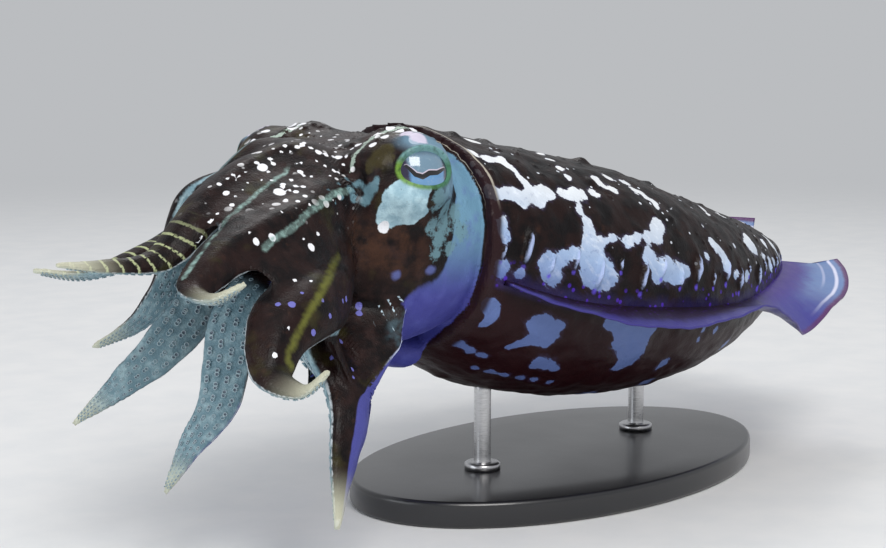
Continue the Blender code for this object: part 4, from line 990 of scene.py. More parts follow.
moved = wandering(skin_points, 130, 0.0013, 20)
fields = {}
for label, marks, growth in (("pale", MANTLE_PALE, 2.5), ("belly_pale", BELLY_PALE, 1.8)):
    found = field_of(both_sides(marks, mantle_point, growth), moved, True)
    fields[label] = np.where(on_mantle > 0.3, found, -1)
on_head = (1 - on_mantle) * (skin_points[:, 0] > -0.085)
for label, marks in (("aqua", HEAD_AQUA), ("mottle", HEAD_MOTTLE), ("pink", HEAD_PINK), ("dim", HEAD_DIM)):
    found = field_of(both_sides(marks, head_point), moved, label == "aqua")
    fields[label] = np.where(on_head > 0.3, found, -1)
fields["front_aqua"] = field_of(on_points(FRONT_AQUA, 1.5), folded(moved), True)
fields["olive"] = field_of(on_points(FRONT_OLIVE, 1.2), folded(moved))
slight = wandering(skin_points, 200, 0.0005, 50)
fields["brow"] = line_field(BROW_LINES, folded(slight))
fields["green_line"] = line_field(GREEN_LINES, slight)
fields["olive_line"] = line_field(OLIVE_LINES, slight)
white = field_of(both_sides(HEAD_WHITE, head_point), slight)
fields["white"] = np.maximum(white, field_of(on_points(ARM_SPOTS), slight)) * (1 - on_mantle) - on_mantle
fields["low_spots"] = field_of(on_points(LOW_SPOTS), slight)

down = np.abs(np.where(on_mantle > 0.5, mantle_down, head_down))
head_reach = np.linalg.norm(head_point(head_station, head_angle)[:, 1:], axis=1)
over_head = np.linalg.norm(skin_points[:, 1:], axis=1) - head_reach
fields["down"] = down / 180
fields["mantle"] = on_mantle
fields["arm"] = on_arm
inside = (down - np.interp(head_station, *VIOLET_EDGE)) / 12
fields["violet"] = np.clip(inside, -1, 1) * (1 - on_mantle) * (1 - on_arm) - on_mantle - on_arm
# How far the mantle's skin lies above the root of the fin, in centimetres, and less than 0 below it.
lift = (fin_line(mantle_station, -1) - np.pi / 2) - np.radians(down)
girth = 0.5 * (mantle_size(mantle_station, MANTLE_HALF_WIDTHS) + mantle_size(mantle_station, MANTLE_TOPS))
fields["over_fin"] = np.where(on_mantle > 0.3, lift * girth * 100, 5.0)
fields["flap"] = flap_mark
fields["drop"] = drop_mark
# How far it lies behind the mantle's front edge, in centimetres.
behind_rim = np.clip((skin_points[:, 0] - collar_reach(mantle_angle)) * 100, -1, 2)
fields["collar"] = np.where(on_mantle > 0.1, behind_rim, 2.0)
fields["lid"] = eye_away * 1000
fields["front"] = eased(-skin_points[:, 0], 0.020, 0.050) * (1 - on_mantle)

# On the arms: the inner face, the keel along the back, the thin edges, and how far out the point lies.
KEEL_HALF_WIDTH = 0.0024
ARM_BARS = 23
HEM_HALF_WIDTH = 0.0009
HEM_INSET = 0.0040
names = list(arms)
side_of = np.array([1 if "left" in name else -1 for name in names])[which_arm]
beyond = (arm_share * 0.999 * (ARM_STEPS - 1)).astype(int)
half_widths = np.array([lines[1][:, 12] for lines in arms.values()])[which_arm, beyond]
inner = eased(-np.sin(arm_angle), 0.10, 0.40) * eased(arm_share, 0.05, 0.15) * (over_arm < 0.004)
fields["inner"] = inner * on_arm
keel_off = np.cos(arm_angle) * half_widths
keel = 1 - np.abs(keel_off) / (KEEL_HALF_WIDTH * (1.1 - 0.6 * arm_share))
keel = np.where((np.sin(arm_angle) > 0) & (over_arm < 0.003) & (side_of < 0), keel, -1) * on_arm - (1 - on_arm)
fields["keel"] = np.clip(keel, -1, 1)
edge = 1 - np.abs(np.sin(arm_angle) + 0.10) / 0.28
fields["edge"] = np.where(over_arm < 0.003, edge, -1) * on_arm - (1 - on_arm)
fields["out"] = arm_share * on_arm
kind = np.array([int(name[-1]) for name in names])[which_arm]
fields["first_arm"] = (kind == 1) * on_arm
fields["third_arm"] = (kind == 3) * on_arm
fields["fourth_arm"] = (kind == 4) * on_arm
fields["bars"] = np.sin(arm_share * 2 * np.pi * ARM_BARS + 2.0 * np.abs(np.cos(arm_angle)))
# The lowest arms' membrane has a white line along it, with violet skin outside the line.
hem_off = np.full(len(skin_points), 1.0)
hem_at = np.zeros(len(skin_points))
lowest = (skin_points[:, 0] < -0.030) & (skin_points[:, 2] < -0.015)
for outer in membrane_edges:
    for share in np.linspace(0, 1, 120):
        far = np.linalg.norm(skin_points[lowest] - smooth(np.linspace(0, 1, MEMBRANE_RIBS), outer, share), axis=1)
        closer = far < hem_off[lowest]
        hem_at[lowest] = np.where(closer, share, hem_at[lowest])
        hem_off[lowest] = np.minimum(far, hem_off[lowest])
hem_width = HEM_INSET * eased(hem_at, 0.25, 0.9)
on_fourth = (kind == 4) & (arm_share > 0.56) & (on_arm > 0.5)
faces_tail = skin_normals @ (0.9, 0.0, -0.4) > 0
on_sheet = (over_head > 0.0015) & lowest & (on_mantle < 0.5) & ((on_arm < 0.5) | (kind == 4)) & (hem_off < 0.05)
keel_gap = HEM_INSET * (1 - 0.85 * eased(arm_share, 0.60, 1.0))
by_keel = eased(arm_share, 0.50, 0.66) * (kind == 4) * (on_arm > 0.5)
line_off = by_keel * -(keel_off * side_of + keel_gap) + (1 - by_keel) * (hem_off - hem_width)
fields["hem"] = np.where(on_fourth | (hem_off < 0.012), 1 - np.abs(line_off - 0.0004) / HEM_HALF_WIDTH, -1)
behind = on_sheet & (hem_off < 0.02) & (on_arm < 0.7) & (faces_tail | (line_off < 0))
fields["behind"] = np.where(on_fourth, np.clip(-line_off / 0.0008, -1, 1), np.where(behind, 1, -1))
fields["violet"] -= 2 * (on_sheet & ~behind)
lash_zone = eased(hem_off, 0.0003, 0.0012) * (1 - eased(hem_off, 0.005, 0.009)) * (1 - eased(hem_at, 0.30, 0.45))
fields["lash"] = line_field(LASHES, skin_points)
fields["membrane"] = lash_zone * on_sheet * ~behind
fields["eye_back"] = eye_back
fields["eye_up"] = eye_up
ends = neighbours_of(skin_mesh)
for label in ("violet", "mantle", "collar", "behind", "hem"):
    for _ in range(3):
        fields[label] = evened(fields[label], ends)[:, 0]
mark(skin_mesh, fields)


# The skin's finish is painted and then varnished as a wet animal's is: a brown ground, pale and violet-blue
# markings with feathered edges, fine white spots, and a fine grain in the surface.
class Socket:
    """A socket of a material's node tree. Sums, products and powers of sockets add their own Math nodes."""

    def __init__(self, tree, socket=None):
        self.tree = tree
        self.socket = socket

    def node(self, kind, settings, values, output=0):
        """Adds any node. Its settings come first, with a ramp's stops among them, then its sockets."""
        made = self.tree.nodes.new("ShaderNode" + kind)
        for name, value in settings.items():
            if name == "stops":
                while len(made.color_ramp.elements) < len(value):
                    made.color_ramp.elements.new(0.5)
                for element, (position, colour) in zip(made.color_ramp.elements, value):
                    element.position = position
                    element.color = (*colour, 1)
            else:
                setattr(made, name, value)
        for name, value in values.items():
            if isinstance(value, Socket):
                self.tree.links.new(value.socket, made.inputs[name])
            else:
                made.inputs[name].default_value = value
        return Socket(self.tree, made.outputs[output])

    def maths(self, operation, first, second=0.0):
        return self.node("Math", {"operation": operation}, {0: first, 1: second})

    def __add__(self, other):
        return self.maths("ADD", self, other)

    def __mul__(self, other):
        return self.maths("MULTIPLY", self, other)

    def __sub__(self, other):
        return self.maths("SUBTRACT", self, other)

    def __rsub__(self, other):
        return self.maths("SUBTRACT", other, self)

    __radd__ = __add__
    __rmul__ = __mul__

    def most(self, other):
        return self.maths("MAXIMUM", self, other)

    def least(self, other):
        return self.maths("MINIMUM", self, other)

    def past(self, low, high):
        """How far the value has gone from low to high, from 0 to 1, eased."""
        ends = {"Value": self, "From Min": low, "From Max": high}
        return self.node("MapRange", {"interpolation_type": "SMOOTHSTEP"}, ends)

    def painted(self, colour, share):
        """This colour with another painted over a share of it."""
        other = colour if isinstance(colour, Socket) else (*colour, 1)
        return self.node("Mix", {"data_type": "RGBA"}, {0: share, 6: self, 7: other}, 2)

    def between(self, first, second):
        """A colour that goes from the first to the second as this share goes from 0 to 1."""
        return self.node("Mix", {"data_type": "RGBA"}, {0: self, 6: (*first, 1), 7: (*second, 1)}, 2)

    def field(self, name):
        """One of the mesh's own fields."""
        return self.node("Attribute", {"attribute_name": name}, {}, 2)


def noise(place, scale, detail=3.0, roughness=0.55):
    """Cloudy noise centred on 0, reaching about half either way."""
    settings = {"Vector": place, "Scale": scale, "Detail": detail, "Roughness": roughness}
    return place.node("TexNoise", {}, settings) - 0.5


def spots_of(place, scale, out=0):
    """Distance to the nearest of many scattered points, or its random colour."""
    return place.node("TexVoronoi", {}, {"Vector": place, "Scale": scale}, out)


def finish(name, roughness, coat=0.0, specular=0.5):
    """A new material, its surface shader and a place on the piece."""
    made = bpy.data.materials.new(name)
    made.use_nodes = True
    shader = made.node_tree.nodes["Principled BSDF"]
    shader.inputs["Roughness"].default_value = roughness
    shader.inputs["Coat Weight"].default_value = coat
    shader.inputs["Coat Roughness"].default_value = 0.18
    shader.inputs["Specular IOR Level"].default_value = specular
    start = Socket(made.node_tree)
    return made, shader, start.node("TexCoord", {}, {}, 3)


def wire(shader, socket, value):
    value.tree.links.new(value.socket, shader.inputs[socket])


def raised_by(height, distance, strength=1.0):
    return height.node("Bump", {}, {"Height": height, "Distance": distance, "Strength": strength})


skin_finish, shader, place = finish("mottled_skin", 0.42, 0.06, 0.14)
leaning = {"Vector": place, "Rotation": (0, math.radians(42), 0), "Scale": (2.4, 1, 0.8)}
streaks = place.node("Mapping", {"vector_type": "TEXTURE"}, leaning)
feather = noise(streaks, 420, 4, 0.65)
cloud = noise(place, 90)
fine = noise(place, 900, 2)
mantle = place.field("mantle")
arm = place.field("arm")
down = place.field("down")
front = place.field("front")

# Ground.
ground = cloud.past(-0.12, 0.12).between((0.003, 0.0015, 0.002), (0.013, 0.005, 0.0045))
ground = ground.painted((0.048, 0.020, 0.012), noise(place, 200, 4).past(0.10, 0.26) * 0.45)
below = mantle * down.past(0.56, 0.62)
ground = ground.painted((0.020, 0.003, 0.005), below * 0.8)
warm = front * (1 - arm * 0.5)
ground = ground.painted((0.044, 0.022, 0.020), warm * noise(place, 160).past(-0.1, 0.25) * 0.6)
ground = ground.painted((0.050, 0.046, 0.012), front * noise(place, 60).past(0.05, 0.22) * 0.5)
rust = front * (1 - arm) * down.past(0.42, 0.47) * (1 - down.past(0.57, 0.64))
ground = ground.painted((0.062, 0.026, 0.014), rust * noise(place, 110, 4, 0.65).past(-0.16, 0.16) * 0.8)
colour = ground

# Violet-blue of the head's sides and underside.
violet = (place.field("violet") + feather * 0.35 + cloud * 0.5).past(-0.10, 0.35)
blue = down.past(0.44, 0.66).between((0.150, 0.300, 0.430), (0.056, 0.060, 0.290))
blue = blue.painted((0.105, 0.120, 0.420), noise(place, 120).past(-0.05, 0.30) * 0.6)
colour = colour.painted(blue, violet)
speckled_blue = (place.field("mottle") + noise(place, 330, 4, 0.7) * 2.2).past(0.05, 0.50)
colour = colour.painted((0.150, 0.280, 0.330), speckled_blue * 0.8)
dark_mottle = noise(place, 420, 3, 0.7).past(0.08, 0.20) * place.field("mottle").past(-0.3, 0.3)
colour = colour.painted((0.030, 0.024, 0.022), dark_mottle * 0.75)

# Pale blotches of the mantle: white on the back, blue down the sides.
WHITE_TO_BLUE = (
    (0.12, (0.90, 0.91, 0.93)), (0.27, (0.80, 0.84, 0.88)), (0.37, (0.56, 0.64, 0.76)),
    (0.46, (0.34, 0.46, 0.68)), (0.56, (0.14, 0.21, 0.46)), (0.85, (0.10, 0.145, 0.35)),
)
white_to_blue = down.node("ValToRGB", {"stops": WHITE_TO_BLUE}, {0: down})
inner_white = noise(streaks, 260, 3).past(0.0, 0.22)
blotch = white_to_blue.painted((0.80, 0.86, 0.95), inner_white * down.past(0.62, 0.30) * 0.75)
blotch = blotch.painted((0.10, 0.14, 0.34), noise(place, 330, 3).past(0.08, 0.30) * down.past(0.25, 0.45) * 0.6)
pale_field = place.field("pale").most(place.field("belly_pale"))
pale = (pale_field + feather * 0.95 + cloud * 0.25).past(0.06, 0.16)
halo = (pale_field + feather * 0.9).past(-0.22, 0.10)
colour = colour.painted((0.045, 0.035, 0.080), halo * 0.5)
colour = colour.painted(blotch, pale)

# Over the fins: a violet margin, drips down the flaps, and violet dots.
over_fin = place.field("over_fin")
margin = (1 - (over_fin + cloud).past(0.05, 0.75)) * over_fin.past(-0.5, -0.1)
colour = colour.painted((0.075, 0.055, 0.300), margin * mantle * 0.25)
dots = (1 - spots_of(place, 210).past(0.16, 0.26)) * (1 - over_fin.past(0.5, 1.1)) * over_fin.past(-0.4, -0.1)
colour = colour.painted((0.100, 0.030, 0.600), dots * mantle * 0.7)
flap = (place.field("flap") + feather * 0.4).past(0.10, 0.50)
colour = colour.painted((0.46, 0.56, 0.86), flap * 0.8)
drop = place.field("drop").past(0.0, 0.7)
colour = colour.painted((0.150, 0.095, 0.780), drop * 0.9)

# Aqua patches round the eye, an olive one before it, a pale brow, and the white spots.
olive = (place.field("olive") + feather * 0.5 + cloud * 0.4).past(0.0, 0.4)
colour = colour.painted((0.045, 0.036, 0.012), olive * (noise(place, 260).past(-0.2, 0.15) * 0.4 + 0.6))
before = (place.field("front_aqua") + feather * 0.8 + cloud * 0.3).past(0.10, 0.45)
colour = colour.painted((0.150, 0.280, 0.340), before * 0.8)
brow = (place.field("brow") * 0.6 + feather * 0.6 + noise(place, 330, 4, 0.7) * 1.5).past(0.22, 0.42)
colour = colour.painted((0.420, 0.520, 0.450), brow * 0.9)
dim = (place.field("dim") + feather * 0.3).past(0.0, 0.6)
colour = colour.painted((0.120, 0.150, 0.400), dim * 0.75)
aqua_field = place.field("aqua")
aqua = (aqua_field + feather * 0.55 + cloud * 0.4).past(0.02, 0.22)
aqua_colour = noise(place, 200).past(-0.15, 0.2).between((0.30, 0.47, 0.56), (0.50, 0.70, 0.78))
aqua_colour = aqua_colour.painted((0.050, 0.062, 0.060), noise(place, 420, 3, 0.7).past(0.14, 0.22) * 0.5)
colour = colour.painted(aqua_colour, aqua)
grain_of_spots = spots_of(place, 190)
pick = place.node("SeparateColor", {}, {0: spots_of(place, 190, 1)})
speckle = (pick * 0.34 + 0.06 - grain_of_spots).past(0.0, 0.05)
out = place.field("out")
on_crown = front * (1 - down.past(0.28, 0.42)) * (1 - arm)
on_backs = arm * (1 - out.past(0.30, 0.62)) * (1 - down.past(0.40, 0.50)) * 0.9
speckled = on_crown.most(on_backs)
patchy = (noise(place, 45) + 0.06).past(0.0, 0.12)
colour = colour.painted((0.80, 0.80, 0.82), speckle * speckled * patchy * (1 - place.field("inner")))
few = (pick * 0.22 - 0.02 - grain_of_spots).past(0.0, 0.05)
colour = colour.painted((0.72, 0.76, 0.84), few * mantle * (1 - down.past(0.35, 0.45)))
white = (place.field("white") + feather * 0.30).past(0.0, 0.18)
colour = colour.painted((0.86, 0.87, 0.92), white)
low = (place.field("low_spots") + feather * 0.30).past(0.0, 0.20)
colour = colour.painted((0.16, 0.16, 0.50), low)

# Arms: a pale keel, thin pale edges, cream tips and a blue-grey inner face.
third = place.field("third_arm")
fourth = place.field("fourth_arm")
first = place.field("first_arm")
keel = (place.field("keel") + feather * 0.5).past(0.0, 0.35) * (1 - fourth)
keel_colour = ground.painted((0.16, 0.24, 0.25), 0.8).painted((0.14, 0.14, 0.030), third)
keel_share = keel * (noise(place, 110).past(-0.16, 0.06) * 0.7 + 0.3)
colour = colour.painted(keel_colour, keel_share)
broken = noise(place, 130).past(-0.22, 0.02) * 0.75 + 0.25
green_line = (place.field("green_line") + feather * 1.1).past(0.0, 0.75) * broken
beads = noise(place, 420, 2).past(-0.10, 0.16) * 0.6 + 0.4
colour = colour.painted((0.270, 0.420, 0.390), green_line * beads * 0.85)
olive_line = (place.field("olive_line") + feather * 0.9).past(-0.05, 1.0)
olive_colour = ground.painted((0.130, 0.135, 0.026), noise(place, 240).past(-0.25, 0.1) * 0.5 + 0.5)
colour = colour.painted(olive_colour, olive_line * (out.past(0.10, 0.45) * 0.7 + 0.3))
behind = place.field("behind").past(-0.1, 0.3)
colour = colour.painted((0.070, 0.075, 0.300), behind * 0.95)
sheet_colour = ground.painted((0.070, 0.120, 0.150), noise(place, 200).past(-0.15, 0.2))
colour = colour.painted(sheet_colour, place.field("membrane") * (1 - behind) * 0.8)
colour = colour.painted((0.52, 0.66, 0.76), (place.field("lash") + feather * 0.4).past(0.1, 0.5) * (1 - behind))
colour = colour.painted((0.66, 0.74, 0.92), (place.field("hem") + feather * 0.3).past(0.0, 0.4))
bars = (place.field("bars") + feather * 0.7).past(0.60, 0.9) * first * out.past(0.52, 0.64)
colour = colour.painted((0.40, 0.44, 0.24), bars)
inner_share = place.field("inner")
inner_colour = ground.painted((0.19, 0.31, 0.37), 0.95)
inner_colour = inner_colour.painted((0.38, 0.53, 0.58), noise(place, 240).past(-0.1, 0.25))
colour = colour.painted(inner_colour, inner_share)
edge = (place.field("edge") + feather * 0.6 + noise(place, 500) * 0.5).past(0.30, 0.75)
colour = colour.painted((0.56, 0.62, 0.66), edge * out.past(0.42, 0.60) * 0.8)
tips = out.past(0.80, 0.97)
colour = colour.painted((0.62, 0.62, 0.48), tips * 0.8)

# Lids: green at the eye's corners and under it, blue-green over it, a blue hood, and painted shade, near-black, in
# the socket inside their edge.
lid = place.field("lid")
eye_back = place.field("eye_back")
eye_up = place.field("eye_up")
ring = 1 - (lid + feather).past(1.2, 2.6)
over_eye = eye_up.past(0.15, 0.75)
green = (eye_back + cloud).past(-0.6, 0.6).between((0.170, 0.330, 0.050), (0.055, 0.190, 0.090))
green = green.painted((0.160, 0.330, 0.330), over_eye)
green = green.painted((0.030, 0.070, 0.030), noise(place, 420).past(-0.05, 0.25) * 0.7)
hood = (1 - (lid + feather * 2).past(5.0, 10.0)) * (eye_back + eye_up * 0.6).past(-0.4, 0.6)
colour = colour.painted((0.190, 0.330, 0.450), hood * 0.8)
pink = (place.field("pink") + feather * 0.5).past(0.0, 0.35)
colour = colour.painted((0.660, 0.600, 0.740), pink * 0.9)
colour = colour.painted(green, ring * lid.past(-2.0, 0.2) * 0.9)
# Painted shade: the skin inside the lids' edge, which turns in behind the eyeball, is near-black as a shaded socket.
colour = colour.painted((0.010, 0.008, 0.020), 1 - lid.past(-0.5, 0.1))

# Collar: a dark strip along the mantle's front edge, with a thin cream line behind it over the eye.
collar = place.field("collar") + feather * 0.08
colour = colour.painted((0.022, 0.008, 0.010), (1 - collar.past(0.35, 0.65)) * 0.95)
cream = collar.past(0.34, 0.40) * (1 - collar.past(0.44, 0.52)) * (1 - down.past(0.30, 0.42))
colour = colour.painted((0.52, 0.48, 0.40), cream * 0.85)

grain = spots_of(place, 1500)
value = fine * 0.20 + grain * 0.25 + noise(place, 350, 4) * 0.5
wire(shader, "Base Color", colour)
wire(shader, "Roughness", noise(place, 200) * 0.30 + 0.44 - pale * 0.06)
wire(shader, "Normal", raised_by(value, 0.0008, 0.55))
skin_mesh.materials.clear()
skin_mesh.materials.append(skin_finish)
skin_mesh.transform(OVER_STAND)
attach(skin, "root")
FLESH = ["head", "mantle", "funnel"] + [name for name in nodes if name.startswith("arm_")]
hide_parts(*FLESH)


# The two fins are thin muscular sheets along the whole side of the mantle. Each is one closed sheet, thickest
# at its root, and lies in waves as the animal holds it.
FIN_FROM = 0.03
FIN_TO = 0.975
FIN_STATIONS = (0.0, 0.12, 0.30, 0.42, 0.50, 0.60, 0.68, 0.80, 0.90, 1.0)
FIN_WIDTHS = (0.006, 0.017, 0.022, 0.023, 0.024, 0.026, 0.030, 0.034, 0.038, 0.034)
FIN_DROOPS = {
    -1: (-10, -14, -18, -4, 10, -12, -40, -26, -16, 0),
    1: (-10, -15, 5, 0, -5, 5, 20, 38, 46, 44),
}
FIN_CURLS = {
    -1: (0, 0, 0, 0, 0, 0, 0, 20, 25, 25),
    1: (0, 10, 20, 0, -10, 5, 15, 25, 35, 35),
}
FIN_SWEEPS = {
    -1: (0, 0, 0, 0, 3, 5, 8, 15, 20, 20),
    1: (0, 0, 0, 0, 3, 5, 8, 20, 35, 50),
}
FIN_COLUMNS = 320
FIN_ROWS = 28
FIN_ROOT_THICKNESS = 0.0026
FIN_EDGE_THICKNESS = 0.0009
FIN_SINK = 0.0012


def fin_rib(share, side, across):
    """The line of the fin's sheet from root to edge, at a share of its length."""
    station = FIN_FROM + (FIN_TO - FIN_FROM) * share
    angle = fin_line(station, side)
    root = mantle_point(station, angle)
    normal = mantle_normal(station, angle)
    out = unit(normal * (1, 1, 0))
    width = smooth(FIN_STATIONS, FIN_WIDTHS, share)
    droop = np.radians(smooth(FIN_STATIONS, FIN_DROOPS[side], share))
    curl = np.radians(smooth(FIN_STATIONS, FIN_CURLS[side], share))
    sweep = np.radians(smooth(FIN_STATIONS, FIN_SWEEPS[side], share))
    out = unit(out * math.cos(sweep) + np.array((1, 0, 0)) * math.sin(sweep))
    steps = np.linspace(0, 1, 41)
    ease = np.clip(steps / 0.3, 0, 1)
    at_root = math.asin(normal[2])
    lean = at_root + (droop - at_root) * ease**2 * (3 - 2 * ease) + curl * steps**2
    moves = out * np.cos(lean)[:, None] + np.array((0, 0, 1)) * np.sin(lean)[:, None]
    path = np.vstack([np.zeros(3), np.cumsum((moves[:-1] + moves[1:]) / 2, axis=0)]) / 40
    reach = np.stack([np.interp(across, steps, path[:, k]) for k in range(3)], axis=-1)
    return root - normal * FIN_SINK * (1 - across[:, None]) ** 4 + width * reach


for side, name in ((-1, "fin_left"), (1, "fin_right")):
    across = np.linspace(0, 1, FIN_ROWS) ** 0.9
    along = np.linspace(0, 1, FIN_COLUMNS)
    sheet = np.array([fin_rib(share, side, across) for share in along])
    normal = unit(np.cross(np.gradient(sheet, axis=0), np.gradient(sheet, axis=1)))
    ripple = np.sin(along[:, None] * 150 + 5 * across) * 0.00018 * across**2
    ripple += np.sin(along[:, None] * 47 + 2 + 3 * across) * 0.0004 * across**2
    sheet = sheet + normal * ripple[..., None]
    thickness = FIN_ROOT_THICKNESS + (FIN_EDGE_THICKNESS - FIN_ROOT_THICKNESS) * across**0.7
    half = normal * (thickness / 2)[None, :, None]
    rings = np.concatenate([sheet + half, (sheet - half)[:, ::-1]], axis=1)
    fin_points, fin_faces = tube(rings)
    fin = piece("fin_sheet_" + name[4:], fin_points, fin_faces)
    out_share = np.tile(np.r_[across, across[::-1]], (FIN_COLUMNS, 1))
    along_share = np.broadcast_to(along[:, None], out_share.shape)
    mark(fin.data, {"from_root": np.r_[out_share.ravel(), 0.5, 0.5], "along": np.r_[along_share.ravel(), 0.5, 0.5]})
    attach(fin, "root")
    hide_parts(name)
fin_finish, shader, place = finish("fin_skin", 0.42, 0.10, 0.20)
out = place.field("from_root")
along = place.field("along")
cloud = noise(place, 150)
rays = place.node("Mapping", {}, {"Vector": place, "Scale": (1, 0.12, 0.12)})
ray = noise(rays, 900, 2, 0.6)
front_part = 1 - along.past(0.50, 0.72)
edge_at = out + ray * 0.20 + cloud * 0.25
colour = edge_at.past(0.10, 0.50).between((0.010, 0.004, 0.007), (0.020, 0.010, 0.040))
colour = colour.painted((0.050, 0.042, 0.230), edge_at.past(0.50, 0.90))
colour = colour.painted((0.060, 0.058, 0.280), (edge_at + 0.35).past(0.35, 0.70) * (1 - front_part))
rear = (along + cloud * 0.08).past(0.74, 0.90)
lobe = (out + cloud * 0.25 + ray * 0.2).past(0.20, 0.60)
colour = colour.painted((0.170, 0.265, 0.500), rear * lobe * 0.95)
near_root = 1 - (out + cloud * 0.2).past(0.15, 0.50)
colour = colour.painted((0.060, 0.030, 0.260), near_root * along.past(0.60, 0.75) * 0.8)
line = out.past(0.785, 0.815) * (1 - out.past(0.835, 0.865))
colour = colour.painted((0.70, 0.72, 0.90), line * along.past(0.74, 0.88))
inner_line = out.past(0.60, 0.63) * (1 - out.past(0.64, 0.67)) * along.past(0.86, 0.93)
colour = colour.painted((0.52, 0.56, 0.78), inner_line * 0.6)
colour = colour.painted((0.115, 0.032, 0.120), (out + cloud * 0.05).past(0.90, 0.96) * along.past(0.55, 0.80) * 0.9)
specks = 1 - spots_of(place, 420).past(0.14, 0.24)
colour = colour.painted((0.130, 0.040, 0.420), specks * (1 - out.past(0.35, 0.65)) * 0.5)
wire(shader, "Base Color", colour)
wire(shader, "Roughness", cloud * 0.2 + 0.38)
wire(shader, "Normal", raised_by(ray * 0.6 + noise(place, 700, 3) * 0.4, 0.0007, 0.5))
for fin_name in ("fin_sheet_left", "fin_sheet_right"):
    bpy.data.objects[fin_name].data.materials.append(fin_finish)


# Each eyeball is a smooth globe in the lids. The iris is pale blue under a clear wet cornea, and the pupil is
# the cuttlefish's narrow wavy slit with a pale rim above it.
PUPIL_LINE = np.array(((-8.8, 0.9), (-5.6, -2.9), (-2.6, -3.9), (0.2, -2.4), (4.2, -2.1), (8.6, 0.0))) / 1000
PUPIL_HALF_WIDTH = 0.0009
EYE_RINGS = 110
EYE_SIDES = 140
eye_finish, shader, place = finish("wet_eye", 0.10, 1.0)
shader.inputs["Coat Roughness"].default_value = 0.03
back = place.field("back")
up = place.field("up")
pupil = place.field("pupil")
above = place.field("above")
flecks = noise(place, 500, 4, 0.6)
iris = (above + flecks * 1.2).past(-0.6, 1.0).between((0.115, 0.290, 0.540), (0.150, 0.250, 0.340))
iris = iris.painted((0.300, 0.420, 0.500), flecks.past(0.02, 0.30) * 0.6)
iris = iris.painted((0.045, 0.085, 0.130), (up + flecks * 0.10).past(0.26, 0.46) * 0.7)
# Painted shade: near-black crescents at the iris's front and rear edges stand for the shadowed rim of the eyeball.
painted_rim_shade = back.maths("ABSOLUTE", back + up * 0.15)
iris = iris.painted((0.012, 0.008, 0.040), (painted_rim_shade + flecks * 0.06).past(0.47, 0.58))
iris = iris.painted((0.62, 0.55, 0.66), (1 - pupil.past(1.25, 1.60)) * above.past(0.2, 0.7))
iris = iris.painted((0.002, 0.002, 0.004), 1 - pupil.past(0.90, 1.06))
wire(shader, "Base Color", iris)
wire(shader, "Roughness", flecks * 0.05 + 0.12)
wire(shader, "Normal", raised_by(flecks, 0.0002, 0.15))
for side, name in ((-1, "eye_left"), (1, "eye_right")):
    middle, outward, to_tail, to_back = eye_frame(side)
    rings = []
    for polar in np.linspace(0.01, np.pi - 0.01, EYE_RINGS):
        turn = turns(EYE_SIDES)[:, None]
        ring = outward * math.cos(polar) + (to_tail * np.cos(turn) + to_back * np.sin(turn)) * math.sin(polar)
        rings.append(middle + ring * EYE_RADIUS)
    eye_points, eye_faces = tube(rings)
    eyeball = piece("eyeball_" + name[4:], eye_points, eye_faces)
    away = eye_points - middle
    face = np.stack([away @ to_tail, away @ to_back], axis=-1)
    nearest = np.full(len(face), 1.0)
    over_line = np.zeros(len(face))
    for start, end in zip(PUPIL_LINE[:-1], PUPIL_LINE[1:]):
        step = end - start
        share = np.clip((face - start) @ step / (step @ step), 0, 1)
        off = face - start - share[:, None] * step
        far = np.linalg.norm(off, axis=1)
        over_line = np.where(far < nearest, off[:, 1], over_line)
        nearest = np.minimum(nearest, far)
    taper = PUPIL_HALF_WIDTH * (1.15 - 0.6 * np.clip(np.abs(face[:, 0]) / 0.009, 0, 1) ** 2)
    in_front = away @ outward > 0
    eye_fields = {"back": face[:, 0] / EYE_RADIUS, "up": face[:, 1] / EYE_RADIUS, "above": over_line * 1000}
    eye_fields["pupil"] = np.where(in_front, nearest / taper, 9.0)
    mark(eyeball.data, eye_fields)
    eyeball.data.materials.append(eye_finish)
    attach(eyeball, "root")
    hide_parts(name)


# The suckers stand in four rows on the inner face of each arm and shrink to its tip. Each is a short cup with
# a soft round rim, pale outside and dusky within. Those of one arm are one mesh.
SUCKER_ROWS = (-0.64, -0.22, 0.22, 0.64)
SUCKER_SHARE_OF_ARM = 0.105
SUCKER_LEAST = 0.00035
# The cup's outline from its foot round the rim to its floor, as shares of its radius.
SUCKER_PROFILE = ((0.62, -0.9), (0.66, 0.05), (1.0, 0.28), (0.96, 0.50), (0.72, 0.55), (0.48, 0.22), (0.12, 0.10))
SUCKER_SIDES = 10
SUCKERS_FROM = 0.08
SUCKERS_TO = 0.97
SUCKER_SPACING = 2.5
sucker_finish, shader, place = finish("suckers", 0.34, 0.4)
cup = place.field("depth")
mix = noise(place, 700, 3)
colour = mix.past(-0.2, 0.25).between((0.28, 0.40, 0.46), (0.46, 0.58, 0.62))
colour = colour.painted((0.130, 0.170, 0.220), cup.past(0.45, 0.85))
colour = colour.painted((0.18, 0.27, 0.33), (1 - cup.past(-0.6, -0.1)) * 0.6)
wire(shader, "Base Color", colour)
wire(shader, "Roughness", mix * 0.2 + 0.36)
wire(shader, "Normal", raised_by(mix, 0.0003, 0.4))
CUP_DEPTHS = (-1.0, -0.4, 0.0, 0.0, 0.3, 0.9, 1.0)
